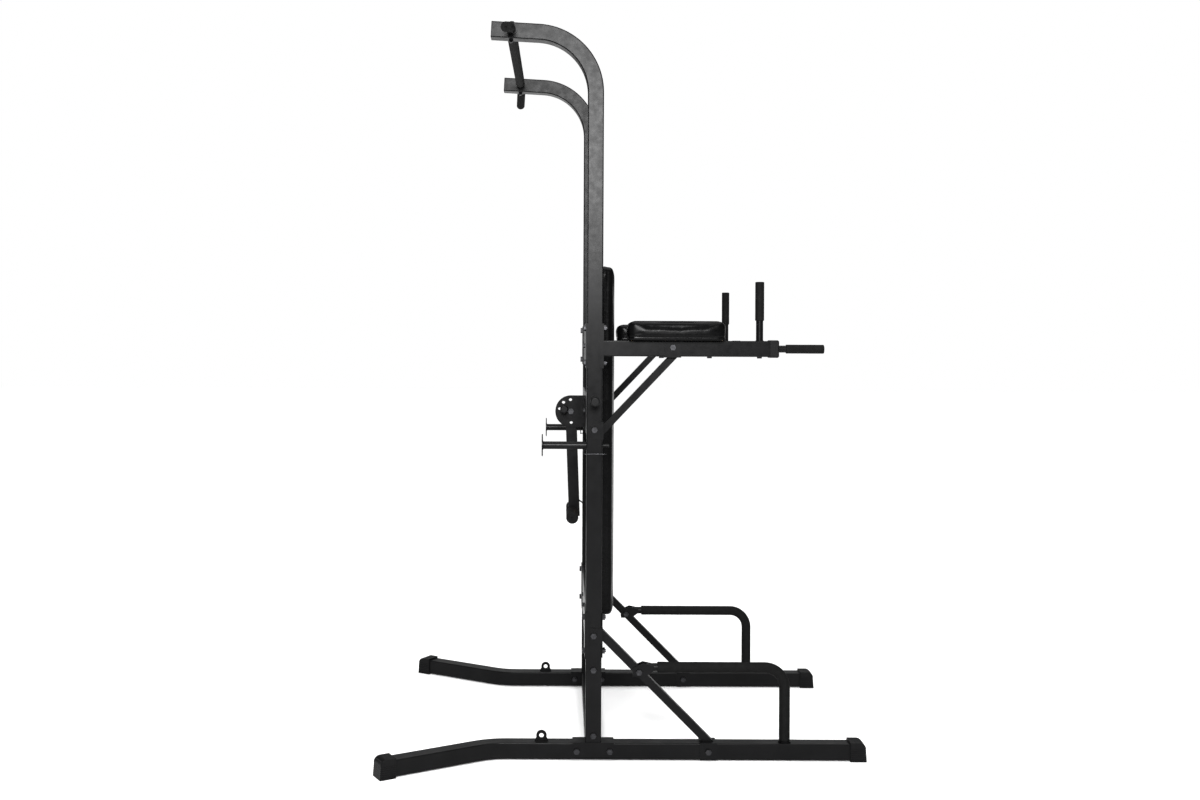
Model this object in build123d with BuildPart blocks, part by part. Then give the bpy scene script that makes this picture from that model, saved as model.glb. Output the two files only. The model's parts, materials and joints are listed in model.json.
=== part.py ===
from build123d import *
import os
from math import cos, radians, sin, tan

# A free-standing power tower: two side frames tied by three crossbeams, a pull-up bar on bent
# uprights, two padded dip arms, a long back pad, two push-up bars, a swing-up foot bar and two
# removable rack pegs.  +X is the front, +Y the user's left, +Z up; the floor is Z = 0.

# ---------------------------------------------------------------- driving sizes, millimetres
TUBE = 50.0             # outside of the main square tube
WALL = 2.0              # its wall
CORNER = 3.5            # its outside corner radius
SLEEVE = 45.4           # inner sleeves, a sliding fit in the main tube
SLEEVE_CORNER = 2.0
PLATE = 3.0             # bracket and flange plate
SIDE_Y = 417.5          # middle plane of each side frame
SIDES = (("right", -1), ("left", 1))

RAIL_LIFT = 4.5         # underside of the rails above the floor
RAIL_FRONT_X = 757.0
RAIL_BEND_X = -418.4
RAIL_REAR_RUN = 375.66  # slanted run behind the bend
RAIL_SPLAY = 30.0       # degrees outward
RAIL_BEND_R = 180.0
FOOT_MOUTH_X = 712.4
FOOT_LENGTH = 51.9
FOOT_SIZE = 60.0
FOOT_POCKET = RAIL_FRONT_X - FOOT_MOUTH_X
FOOT_ROUND = ((49.5, 38.0), (44.6, 53.4), (30.0, 60.0))   # arc over the top of the foot's end
FOOT_FLANK_EDGE = 1.5
FOOT_GROOVES = 6
FOOT_GROOVE_START = 6.0
FOOT_GROOVE_STEP = 6.4
FOOT_GROOVE = 2.2       # height of a groove
FOOT_GROOVE_DEPTH = 1.1
SADDLE_BOLT = 52.0      # saddle bolts before and behind the upright
SADDLE_HALF = 65.0
SADDLE_LOW = 12.0       # lower edge of the saddle's cheeks
SADDLE_EDGE = 2.5
STUB_WALL = 2.5
STUB_LENGTH = 252.0     # sleeve that stands on the saddle, inside the upright

POST_X = -94.5          # centre of the uprights
POST_JOINT_Z = 1296.0   # where the upper post stands on the lower one
ARM_RISE = 3.1          # degrees that the pull-up arms rise towards the rear
ARM_END_X = -422.2
ARM_END_Z = 2297.0
POST_BEND_R = 190.0
POST_SLEEVE = (1090.0, 1400.0)       # inner sleeve across the joint
PLUG_FACE = 3.0         # end plugs of the pull-up arms
PLUG_SKIRT = 16.0
PLUG_WALL = 3.0

BAR_X = -362.0          # pull-up bar
BAR_R = 14.0
BAR_BEND_Y = 480.0
BAR_TIP = (-370.0, 618.0, -35.0)     # X, half span, drop of the bar's bent ends
BAR_BEND_R = 90.0
BAR_LOCK_R = 4.0        # bolts that lock the bar in the arms
BAR_LOCK_FLATS = 13.0
BAR_LOCK_HEAD = 7.0
SLEEVE_HALF = 355.0
BAR_SLEEVE_R = 16.5
BAR_GRIP_R = 15.6
BAR_GRIP_START = 22.0   # along the bent end, past the bend
COLLAR_R = 18.0
COLLAR_HALF = 2.0
GRIP_CAP = 4.5          # closed end of every grip
SLIP_FIT = 0.1          # radial play of a ring on a bar

BEAM_BOTTOM = (320.0, 465.0)
BEAM_MIDDLE = (1015.0, 1145.0)
BEAM_TOP = (1232.0, 1373.0)
BEAM_LIP = 12.6
BEAM_FLANGE = 150.0     # plate behind the upright and the end of the beam

PEG_Z = 988.0
SPARE_PEG_Z = 823.0
PEG_PIN_R = 6.0
POP_PIN_Z = 1129.0
POP_PIN_R = 4.0
BRACE_BOLT_Z = 1038.0
BASE_BRACE_BOLT_Z = 392.0
BEAM_BOTTOM_BOLTS = (340.0, 446.0)
BEAM_TOP_BOLTS = (1249.0, 1358.5)
STUB_BOLTS = (78.0, 284.0)

DIP_Z = 1295.0          # centre of the dip arms
DIP_END_X = 466.0
DIP_CAP_X = 484.0
DIP_CAP = 55.0
DIP_CAP_LAP = 10.0      # how far the cap reaches over the arm
DIP_CAP_EDGE = 4.0
HANDLE_X = 426.0
HANDLE_R = 11.0
HANDLE_TOP = 1502.0
HANDLE_FOOT = 24.0      # solid foot of the upright handle
HANDLE_THREAD = 20.0
HANDLE_DEPTH = 30.0     # how far the front handle reaches into the dip arm
GRIP_R = 14.0
GRIP_EDGE = 5.0
GRIP_START_X = 509.0
GRIP_END_X = 629.0
GRIP_LOW = 1384.0
ARM_PAD_X = (6.0, 316.0)
ARM_PAD_WIDTH = 115.0
ARM_PAD_TOP = 1382.0
ARM_PAD_EDGE = 12.0
ARM_PAD_CORNER = 14.0
ARM_BOARD_INSET = 12.0
ARM_PAD_SCREWS = (116.0, 268.0)
ARM_BRACKET_X = 150.0
ARM_BRACKET_HEIGHT = 42.0
ARM_BRACKET_ROUND = 6.0
ARM_BOLT_Z = 1298.0
ARM_BRACE = 22.0        # square tube under the dip arm
ARM_BRACE_WALL = 1.5
ARM_BRACE_PLATE = (1008.0, 1065.0)
BRACE_LIP = 40.0        # brace plates' side flange, across the upright
BRACKET_HALF = 26.0     # half length of the brackets at the braces' other ends

BACK_PAD_Z = (387.0, 1573.0)
BACK_PAD_WIDTH = 300.0
BACK_PAD_FRONT_X = -19.0
BACK_PAD_CORNER = 20.0
BACK_PAD_EDGE = 14.0
BACK_BOARD_INSET = 15.0
BOARD = 12.0            # plywood behind the pads
PAD_SCREW_Y = 90.0      # screws through the crossbeams into the back pad's board
PAD_SCREW_Z = (415.0, 1080.0, 1302.0)
PAD_SCREW_R = 3.0
PAD_SCREW_FLATS = 13.0
PAD_SCREW_HEAD = 5.0
PAD_SCREW_TIP = 2.0     # wood left in front of the screws
SCREW_HOLE_R = 3.4

PUSH_Z = 288.0          # push-up bar
PUSH_X = 510.0
PUSH_R = 12.5
PUSH_FOAM_R = 17.0
PUSH_BEND_R = 62.0
PUSH_START_X = 72.0
PUSH_FOAM_X = 108.0
PUSH_FLANGE_R = 20.0
PUSH_FORK = 12.7        # middle plane of the bar to the inner face of an end plate
PUSH_BLOCK = (20.0, 12.0)            # length and height of the block between the end plates
PUSH_BOLT = (49.0, 275.5)
PUSH_PLATE = ((30, 262), (70, 262), (95, 280), (95, 296), (62, 303), (30, 289))
BASE_BRACE_X = 267.0    # where the base brace meets the rail
BASE_BRACE = 25.0
BASE_BRACE_PLATE = (324.0, 462.0)
BASE_BRACE_LIP = 48.0
BASE_BRACKET_GAP = 1.0  # bracket's lower edge above the rail's underside

PIVOT_X = -167.1        # swing arm hinge
PIVOT_Z = 1073.0
SWING_TILT = 2.15       # degrees that the arm hangs towards the uprights
SWING_TUBE = 38.0
SWING_LENGTH = 365.0
FOOT_BAR_DROP = 352.0   # pivot to foot bar, along the arm
FOOT_BAR_BACK = 7.6     # foot bar behind the arm's centre line
LOCK_HOLE_R = 40.0      # circle of the lock holes
LOCK_HOLE_ANGLES = (0.0, 104.0, 142.0, 180.0)
LOCK_PIN_HOLE_R = 5.75
LOCK_PIN_R = 4.2
LOCK_TIP_GAP = 0.9      # pin's tip to the arm's flank
KNOB_X = -190.5
KNOB_Z = 1081.5
KNOB_R = 14.0
KNOB_LENGTH = 24.0
KNOB_GAP = 1.0          # knob to the barrel's face
KNOB_EDGE = 5.0
BARREL_R = 8.0
BARREL_LENGTH = 12.0
PIVOT_R = 6.0
PIVOT_PLAY = 0.08       # running fit of the swing arm on its bolt
PIVOT_FLATS = 19.0
PIVOT_BOLT_HALF = 30.0
CHEEK = 4.0             # bracket plate
CHEEK_R = 54.0
CHEEK_GAP = 0.6
BRACKET_PLATE = (100.0, 115.0)
BRACKET_Z = 1069.5
BRACKET_CORNER = 6.0
BRACKET_SCREWS = ((-38, 1020), (38, 1020), (-38, 1119), (38, 1119))
SWING_HEAD = 20.0       # arm above its pivot
SWING_CORNER = 3.0
HOOK = ((312.0, -1.0), (322.0, 13.0), (348.0, 15.0))   # drop below the pivot, stand-off
HOOK_R = 2.2
HOOK_BEND_R = 7.0
FOOT_BAR_HALF = 145.5
FOOT_GRIP = (25.0, 150.0)
FOOT_GRIP_R = 20.5

EYELET_X = -257.4
EYELET_Z = 71.5
EYELET_R = 16.5
EYELET_HOLE_R = 7.5

BOLT_R = 5.0            # main hex bolts
BOLT_FLATS = 17.0
NUT = 8.0
HEAD = 6.5
BOLT_TAIL = 3.0         # thread past the nut
HOLE_PLAY = 0.3         # radial play of bolt and pin holes

RAIL_Z = RAIL_LIFT + TUBE / 2
RAIL_TOP = RAIL_LIFT + TUBE
POST_REAR = POST_X - TUBE / 2
POST_FRONT = POST_X + TUBE / 2
OUTER_Y = SIDE_Y + TUBE / 2
INNER_Y = SIDE_Y - TUBE / 2
BAR_Z = ARM_END_Z - (BAR_X - ARM_END_X) * tan(radians(ARM_RISE))

os.makedirs("parts", exist_ok=True)


# ---------------------------------------------------------------- planes and small helpers
def side_plane(y):
    """Plane facing -Y whose drawing axes are X and Z."""
    return Plane(origin=(0, y, 0), x_dir=(1, 0, 0), z_dir=(0, -1, 0))


def front_plane(x):
    """Plane facing +X whose drawing axes are Y and Z."""
    return Plane(origin=(x, 0, 0), x_dir=(0, 1, 0), z_dir=(1, 0, 0))


def outward_plane(x, y, z):
    """Plane that faces away from the middle of the tower, for bolts across a side frame."""
    return Plane(origin=(x, y, z), x_dir=(1, 0, 0), z_dir=(0, y / abs(y), 0))


def hollow_square(side, wall, corner):
    """Adds a square tube's section to the sketch being drawn."""
    RectangleRounded(side, side, corner)
    Rectangle(side - 2 * wall, side - 2 * wall, mode=Mode.SUBTRACT)


def brace_outline(start, end, half):
    """Corners of a slanted bar that starts on the line X = start.X and ends on Z = end.Z."""
    run = end[0] - start[0]
    rise = end[1] - start[1]
    length = (run * run + rise * rise) ** 0.5
    dz = half * length / run
    dx = half * length / abs(rise)
    slope = 1 if rise > 0 else -1
    return [
        (start[0], start[1] - dz),
        (start[0], start[1] + dz),
        (end[0] - slope * dx, end[1]),
        (end[0] + slope * dx, end[1]),
    ]


def finish(builder, name):
    """Labels a finished piece and writes it."""
    builder.part.label = name
    export_step(builder.part, f"parts/{name}.step")


# ---------------------------------------------------------------- base rails and feet
foot_slant = (FOOT_LENGTH - FOOT_ROUND[0][0]) / FOOT_ROUND[0][1]
for side, sign in SIDES:
    rear_x = RAIL_BEND_X - RAIL_REAR_RUN * cos(radians(RAIL_SPLAY))
    rear_y = SIDE_Y + RAIL_REAR_RUN * sin(radians(RAIL_SPLAY))
    with BuildPart() as rail:
        with BuildLine():
            FilletPolyline(
                (RAIL_FRONT_X, sign * SIDE_Y, RAIL_Z),
                (RAIL_BEND_X, sign * SIDE_Y, RAIL_Z),
                (rear_x, sign * rear_y, RAIL_Z),
                radius=RAIL_BEND_R,
            )
        with BuildSketch(front_plane(RAIL_FRONT_X)):
            with Locations((sign * SIDE_Y, RAIL_Z)):
                hollow_square(TUBE, WALL, CORNER)
        sweep()
        rail_bolts = [POST_X - SADDLE_BOLT, POST_X + SADDLE_BOLT, BASE_BRACE_X]
        with BuildSketch(side_plane(sign * SIDE_Y)):
            with Locations(*[(x, RAIL_Z) for x in rail_bolts]):
                Circle(BOLT_R + HOLE_PLAY)
        extrude(amount=TUBE, both=True, mode=Mode.SUBTRACT)
    finish(rail, f"rail_{side}")

    splayed = Vector(-cos(radians(RAIL_SPLAY)), sign * sin(radians(RAIL_SPLAY)), 0)
    rear_mouth = Vector(rear_x, sign * rear_y, 0) - splayed * FOOT_POCKET
    foot_ends = (
        ("front", Vector(FOOT_MOUTH_X, sign * SIDE_Y, 0), Vector(1, 0, 0)),
        ("rear", rear_mouth, splayed),
    )
    for end_name, mouth, outward in foot_ends:
        profile = Plane(origin=mouth, x_dir=outward, z_dir=outward.cross(Vector(0, 0, 1)))
        floor = Plane(origin=mouth, x_dir=outward, z_dir=(0, 0, 1))
        with BuildPart() as foot:
            with BuildSketch(profile):
                with BuildLine():
                    Polyline(FOOT_ROUND[2], (0, FOOT_SIZE), (0, 0), (FOOT_LENGTH, 0), FOOT_ROUND[0])
                    ThreePointArc(*FOOT_ROUND)
                make_face()
            extrude(amount=FOOT_SIZE / 2, both=True)
            flanks = foot.faces().filter_by(Axis(mouth, outward.cross(Vector(0, 0, 1))))
            chamfer(flanks.edges().filter_by(lambda edge: edge.center().Z > 1), FOOT_FLANK_EDGE)
            with BuildSketch(profile):
                with Locations((FOOT_POCKET / 2, RAIL_Z)):
                    Rectangle(FOOT_POCKET, TUBE)
            extrude(amount=TUBE / 2, both=True, mode=Mode.SUBTRACT)
            for groove in range(FOOT_GROOVES):
                groove_z = FOOT_GROOVE_START + FOOT_GROOVE_STEP * groove
                core_end = FOOT_LENGTH - foot_slant * groove_z - FOOT_GROOVE_DEPTH
                with BuildSketch(floor.offset(groove_z)):
                    Rectangle(3 * FOOT_SIZE, 2 * FOOT_SIZE)
                    with Locations(((core_end - FOOT_SIZE) / 2, 0)):
                        core_width = FOOT_SIZE - 2 * FOOT_GROOVE_DEPTH
                        Rectangle(core_end + FOOT_SIZE, core_width, mode=Mode.SUBTRACT)
                extrude(amount=FOOT_GROOVE, mode=Mode.SUBTRACT)
        finish(foot, f"foot_{end_name}_{side}")

# ---------------------------------------------------------------- band eyelets on the rails
with BuildPart() as band_eyelets:
    for sign in (-1, 1):
        with BuildSketch(side_plane(sign * SIDE_Y)):
            with Locations((EYELET_X, EYELET_Z)):
                Circle(EYELET_R)
            with Locations((EYELET_X, RAIL_TOP)):
                Polygon((-22, 0), (22, 0), (21, 3.5), (15.4, 13), (-15.4, 13), (-21, 3.5), align=None)
            with Locations((EYELET_X, EYELET_Z)):
                Circle(EYELET_HOLE_R, mode=Mode.SUBTRACT)
        extrude(amount=2.5, both=True)
finish(band_eyelets, "band_eyelets")

# ---------------------------------------------------------------- post saddles and base crossbar
for side, sign in SIDES:
    with BuildPart() as saddle:
        with BuildSketch(front_plane(POST_X)):
            with Locations((sign * SIDE_Y, (SADDLE_LOW + RAIL_TOP + PLATE) / 2)):
                Rectangle(TUBE + 2 * PLATE, RAIL_TOP + PLATE - SADDLE_LOW)
            with Locations((sign * SIDE_Y, RAIL_TOP / 2)):
                Rectangle(TUBE, RAIL_TOP, mode=Mode.SUBTRACT)
        extrude(amount=SADDLE_HALF, both=True)
        fillet(saddle.edges().filter_by(Axis.Y).group_by(Axis.Z)[0], SADDLE_EDGE)
        with BuildSketch(Plane.XY.offset(RAIL_TOP + PLATE)):
            with Locations((POST_X, sign * SIDE_Y)):
                hollow_square(SLEEVE, STUB_WALL, SLEEVE_CORNER)
        extrude(amount=STUB_LENGTH)
        with BuildSketch(side_plane(sign * SIDE_Y)):
            with Locations((POST_X - SADDLE_BOLT, RAIL_Z), (POST_X + SADDLE_BOLT, RAIL_Z)):
                Circle(BOLT_R + HOLE_PLAY)
            with Locations(*[(POST_X, z) for z in STUB_BOLTS]):
                Circle(BOLT_R + HOLE_PLAY)
        extrude(amount=TUBE, both=True, mode=Mode.SUBTRACT)
    finish(saddle, f"post_saddle_{side}")

with BuildPart() as base_crossbar:
    with BuildSketch(side_plane(0)):
        with Locations((POST_X, RAIL_Z)):
            hollow_square(TUBE, WALL, CORNER)
    extrude(amount=INNER_Y - PLATE, both=True)
finish(base_crossbar, "base_crossbar")

# ---------------------------------------------------------------- uprights
for side, sign in SIDES:
    with BuildPart() as post_lower:
        with BuildSketch(Plane.XY.offset(RAIL_TOP + PLATE)):
            with Locations((POST_X, sign * SIDE_Y)):
                hollow_square(TUBE, WALL, CORNER)
        extrude(amount=POST_JOINT_Z - RAIL_TOP - PLATE)
        with BuildSketch(front_plane(POST_X)):
            with Locations(*[(sign * SIDE_Y, z) for z in (*BEAM_BOTTOM_BOLTS, BEAM_TOP_BOLTS[0])]):
                Circle(BOLT_R + HOLE_PLAY)
            with Locations((sign * SIDE_Y, PEG_Z), (sign * SIDE_Y, SPARE_PEG_Z)):
                Circle(PEG_PIN_R + HOLE_PLAY)
        extrude(amount=TUBE, both=True, mode=Mode.SUBTRACT)
        with BuildSketch(side_plane(sign * SIDE_Y)):
            with Locations(*[(POST_X, z) for z in (*STUB_BOLTS, BASE_BRACE_BOLT_Z, BRACE_BOLT_Z)]):
                Circle(BOLT_R + HOLE_PLAY)
        extrude(amount=TUBE, both=True, mode=Mode.SUBTRACT)
        with BuildSketch(outward_plane(POST_X, sign * SIDE_Y, POP_PIN_Z)):
            Circle(POP_PIN_R + HOLE_PLAY)
        extrude(amount=TUBE, mode=Mode.SUBTRACT)
    finish(post_lower, f"post_lower_{side}")

    with BuildPart() as post_upper:
        with BuildLine():
            FilletPolyline(
                (POST_X, sign * SIDE_Y, POST_JOINT_Z),
                (POST_X, sign * SIDE_Y, ARM_END_Z - (POST_X - ARM_END_X) * tan(radians(ARM_RISE))),
                (ARM_END_X, sign * SIDE_Y, ARM_END_Z),
                radius=POST_BEND_R,
            )
        with BuildSketch(Plane.XY.offset(POST_JOINT_Z)):
            with Locations((POST_X, sign * SIDE_Y)):
                hollow_square(TUBE, WALL, CORNER)
        sweep()
        with BuildSketch(front_plane(POST_X)):
            with Locations((sign * SIDE_Y, BEAM_TOP_BOLTS[1])):
                Circle(BOLT_R + HOLE_PLAY)
        extrude(amount=TUBE, both=True, mode=Mode.SUBTRACT)
        with BuildSketch(side_plane(sign * SIDE_Y)):
            with Locations((BAR_X, BAR_Z)):
                Circle(BAR_R + HOLE_PLAY)
        extrude(amount=TUBE, both=True, mode=Mode.SUBTRACT)
        with BuildSketch(Plane(origin=(BAR_X, sign * SIDE_Y, BAR_Z), x_dir=(0, 1, 0),
                               z_dir=(sin(radians(ARM_RISE)), 0, cos(radians(ARM_RISE))))):
            Circle(BAR_LOCK_R + HOLE_PLAY)
        extrude(amount=TUBE, both=True, mode=Mode.SUBTRACT)
    finish(post_upper, f"post_upper_{side}")

with BuildPart() as post_joint_sleeves:
    for sign in (-1, 1):
        with BuildSketch(Plane.XY.offset(POST_SLEEVE[0])):
            with Locations((POST_X, sign * SIDE_Y)):
                hollow_square(SLEEVE, WALL, SLEEVE_CORNER)
        extrude(amount=POST_SLEEVE[1] - POST_SLEEVE[0])
        with BuildSketch(front_plane(POST_X)):
            with Locations(*[(sign * SIDE_Y, z) for z in BEAM_TOP_BOLTS]):
                Circle(BOLT_R + HOLE_PLAY)
        extrude(amount=TUBE, both=True, mode=Mode.SUBTRACT)
        with BuildSketch(outward_plane(POST_X, sign * SIDE_Y, POP_PIN_Z)):
            Circle(POP_PIN_R + HOLE_PLAY)
        extrude(amount=TUBE, mode=Mode.SUBTRACT)
finish(post_joint_sleeves, "post_joint_sleeves")

arm_outward = Vector(-cos(radians(ARM_RISE)), 0, sin(radians(ARM_RISE)))
with BuildPart() as pull_up_arm_plugs:
    for sign in (-1, 1):
        arm_end = Plane(origin=(ARM_END_X, sign * SIDE_Y, ARM_END_Z), x_dir=(0, 1, 0), z_dir=arm_outward)
        with BuildSketch(arm_end):
            RectangleRounded(TUBE, TUBE, CORNER)
        extrude(amount=PLUG_FACE)
        with BuildSketch(arm_end):
            hollow_square(SLEEVE, PLUG_WALL, SLEEVE_CORNER)
        extrude(amount=-PLUG_SKIRT)
finish(pull_up_arm_plugs, "pull_up_arm_plugs")

# ---------------------------------------------------------------- crossbeams
beams = (
    ("crossbeam_bottom", BEAM_BOTTOM, BEAM_BOTTOM_BOLTS, BASE_BRACE_BOLT_Z, PAD_SCREW_Z[0]),
    ("crossbeam_middle", BEAM_MIDDLE, (), BRACE_BOLT_Z, PAD_SCREW_Z[1]),
    ("crossbeam_top", BEAM_TOP, BEAM_TOP_BOLTS, None, PAD_SCREW_Z[2]),
)
for beam_name, (low, high), rear_bolts, side_bolt, screw_z in beams:
    middle = (low + high) / 2
    with BuildPart() as beam:
        with BuildSketch(side_plane(0)):
            with Locations((POST_X, middle)):
                RectangleRounded(TUBE, high - low, CORNER)
                Rectangle(TUBE - 2 * WALL, high - low - 2 * WALL, mode=Mode.SUBTRACT)
        extrude(amount=INNER_Y, both=True)
        for sign in (-1, 1):
            with BuildSketch(side_plane(sign * (INNER_Y - PLATE / 2))):
                with Locations((POST_X, middle)):
                    Rectangle(TUBE - WALL, high - low - WALL)
            extrude(amount=PLATE / 2, both=True)
            if rear_bolts:
                with BuildSketch(front_plane(POST_REAR - PLATE)):
                    with Locations((sign * (OUTER_Y + PLATE - BEAM_FLANGE / 2), middle)):
                        Rectangle(BEAM_FLANGE, high - low)
                extrude(amount=PLATE)
                with BuildSketch(side_plane(sign * (OUTER_Y + PLATE / 2))):
                    with Locations((POST_REAR - PLATE + BEAM_LIP / 2, middle)):
                        Rectangle(BEAM_LIP, high - low)
                extrude(amount=PLATE / 2, both=True)
                with BuildSketch(front_plane(POST_REAR)):
                    with Locations(*[(sign * SIDE_Y, z) for z in rear_bolts]):
                        Circle(BOLT_R + HOLE_PLAY)
                extrude(amount=2 * PLATE, both=True, mode=Mode.SUBTRACT)
            if side_bolt:
                with BuildSketch(side_plane(sign * INNER_Y)):
                    with Locations((POST_X, side_bolt)):
                        Circle(BOLT_R + HOLE_PLAY)
                extrude(amount=2 * PLATE, both=True, mode=Mode.SUBTRACT)
        with BuildSketch(front_plane(POST_X)):
            with Locations((-PAD_SCREW_Y, screw_z), (PAD_SCREW_Y, screw_z)):
                Circle(SCREW_HOLE_R)
        extrude(amount=TUBE, both=True, mode=Mode.SUBTRACT)
    finish(beam, beam_name)

# ---------------------------------------------------------------- pull-up bar
tip_x, tip_y, tip_drop = BAR_TIP
arm_normal = Vector(sin(radians(ARM_RISE)), 0, cos(radians(ARM_RISE)))
with BuildPart() as pull_up_bar:
    with BuildLine() as bar_line:
        FilletPolyline(
            (tip_x, -tip_y, BAR_Z + tip_drop),
            (BAR_X, -BAR_BEND_Y, BAR_Z),
            (BAR_X, BAR_BEND_Y, BAR_Z),
            (tip_x, tip_y, BAR_Z + tip_drop),
            radius=BAR_BEND_R,
        )
    with BuildSketch(Plane(origin=bar_line.line @ 0, z_dir=bar_line.line % 0)):
        Circle(BAR_R)
        Circle(BAR_R - WALL, mode=Mode.SUBTRACT)
    sweep()
    for sign in (-1, 1):
        with BuildSketch(Plane(origin=(BAR_X, sign * SIDE_Y, BAR_Z), x_dir=(0, 1, 0), z_dir=arm_normal)):
            Circle(BAR_LOCK_R + HOLE_PLAY)
        extrude(amount=TUBE, both=True, mode=Mode.SUBTRACT)
finish(pull_up_bar, "pull_up_bar")

with BuildPart() as pull_up_sleeve:
    with BuildSketch(side_plane(0)):
        with Locations((BAR_X, BAR_Z)):
            Circle(BAR_SLEEVE_R)
            Circle(BAR_R, mode=Mode.SUBTRACT)
    extrude(amount=SLEEVE_HALF, both=True)
finish(pull_up_sleeve, "pull_up_sleeve")

with BuildPart() as pull_up_end_grips:
    for sign in (-1, 1):
        bend_point = Vector(BAR_X, sign * BAR_BEND_Y, BAR_Z)
        tip_point = Vector(tip_x, sign * tip_y, BAR_Z + tip_drop)
        outward = (tip_point - bend_point).normalized()
        length = (tip_point - bend_point).length
        with BuildSketch(Plane(origin=bend_point + outward * BAR_GRIP_START, z_dir=outward)):
            Circle(BAR_GRIP_R)
        extrude(amount=length - BAR_GRIP_START + GRIP_CAP)
        fillet(pull_up_end_grips.faces().sort_by(Axis.Y)[0 if sign < 0 else -1].edges(), GRIP_EDGE)
        with BuildSketch(Plane(origin=bend_point + outward * BAR_GRIP_START, z_dir=outward)):
            Circle(BAR_R)
        extrude(amount=length - BAR_GRIP_START, mode=Mode.SUBTRACT)
finish(pull_up_end_grips, "pull_up_end_grips")

with BuildPart() as pull_up_collars:
    for y in (OUTER_Y + COLLAR_HALF, INNER_Y - COLLAR_HALF, COLLAR_HALF - INNER_Y, -OUTER_Y - COLLAR_HALF):
        with BuildSketch(side_plane(y)):
            with Locations((BAR_X, BAR_Z)):
                Circle(COLLAR_R)
                Circle(BAR_R + SLIP_FIT, mode=Mode.SUBTRACT)
        extrude(amount=COLLAR_HALF, both=True)
finish(pull_up_collars, "pull_up_collars")

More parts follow.
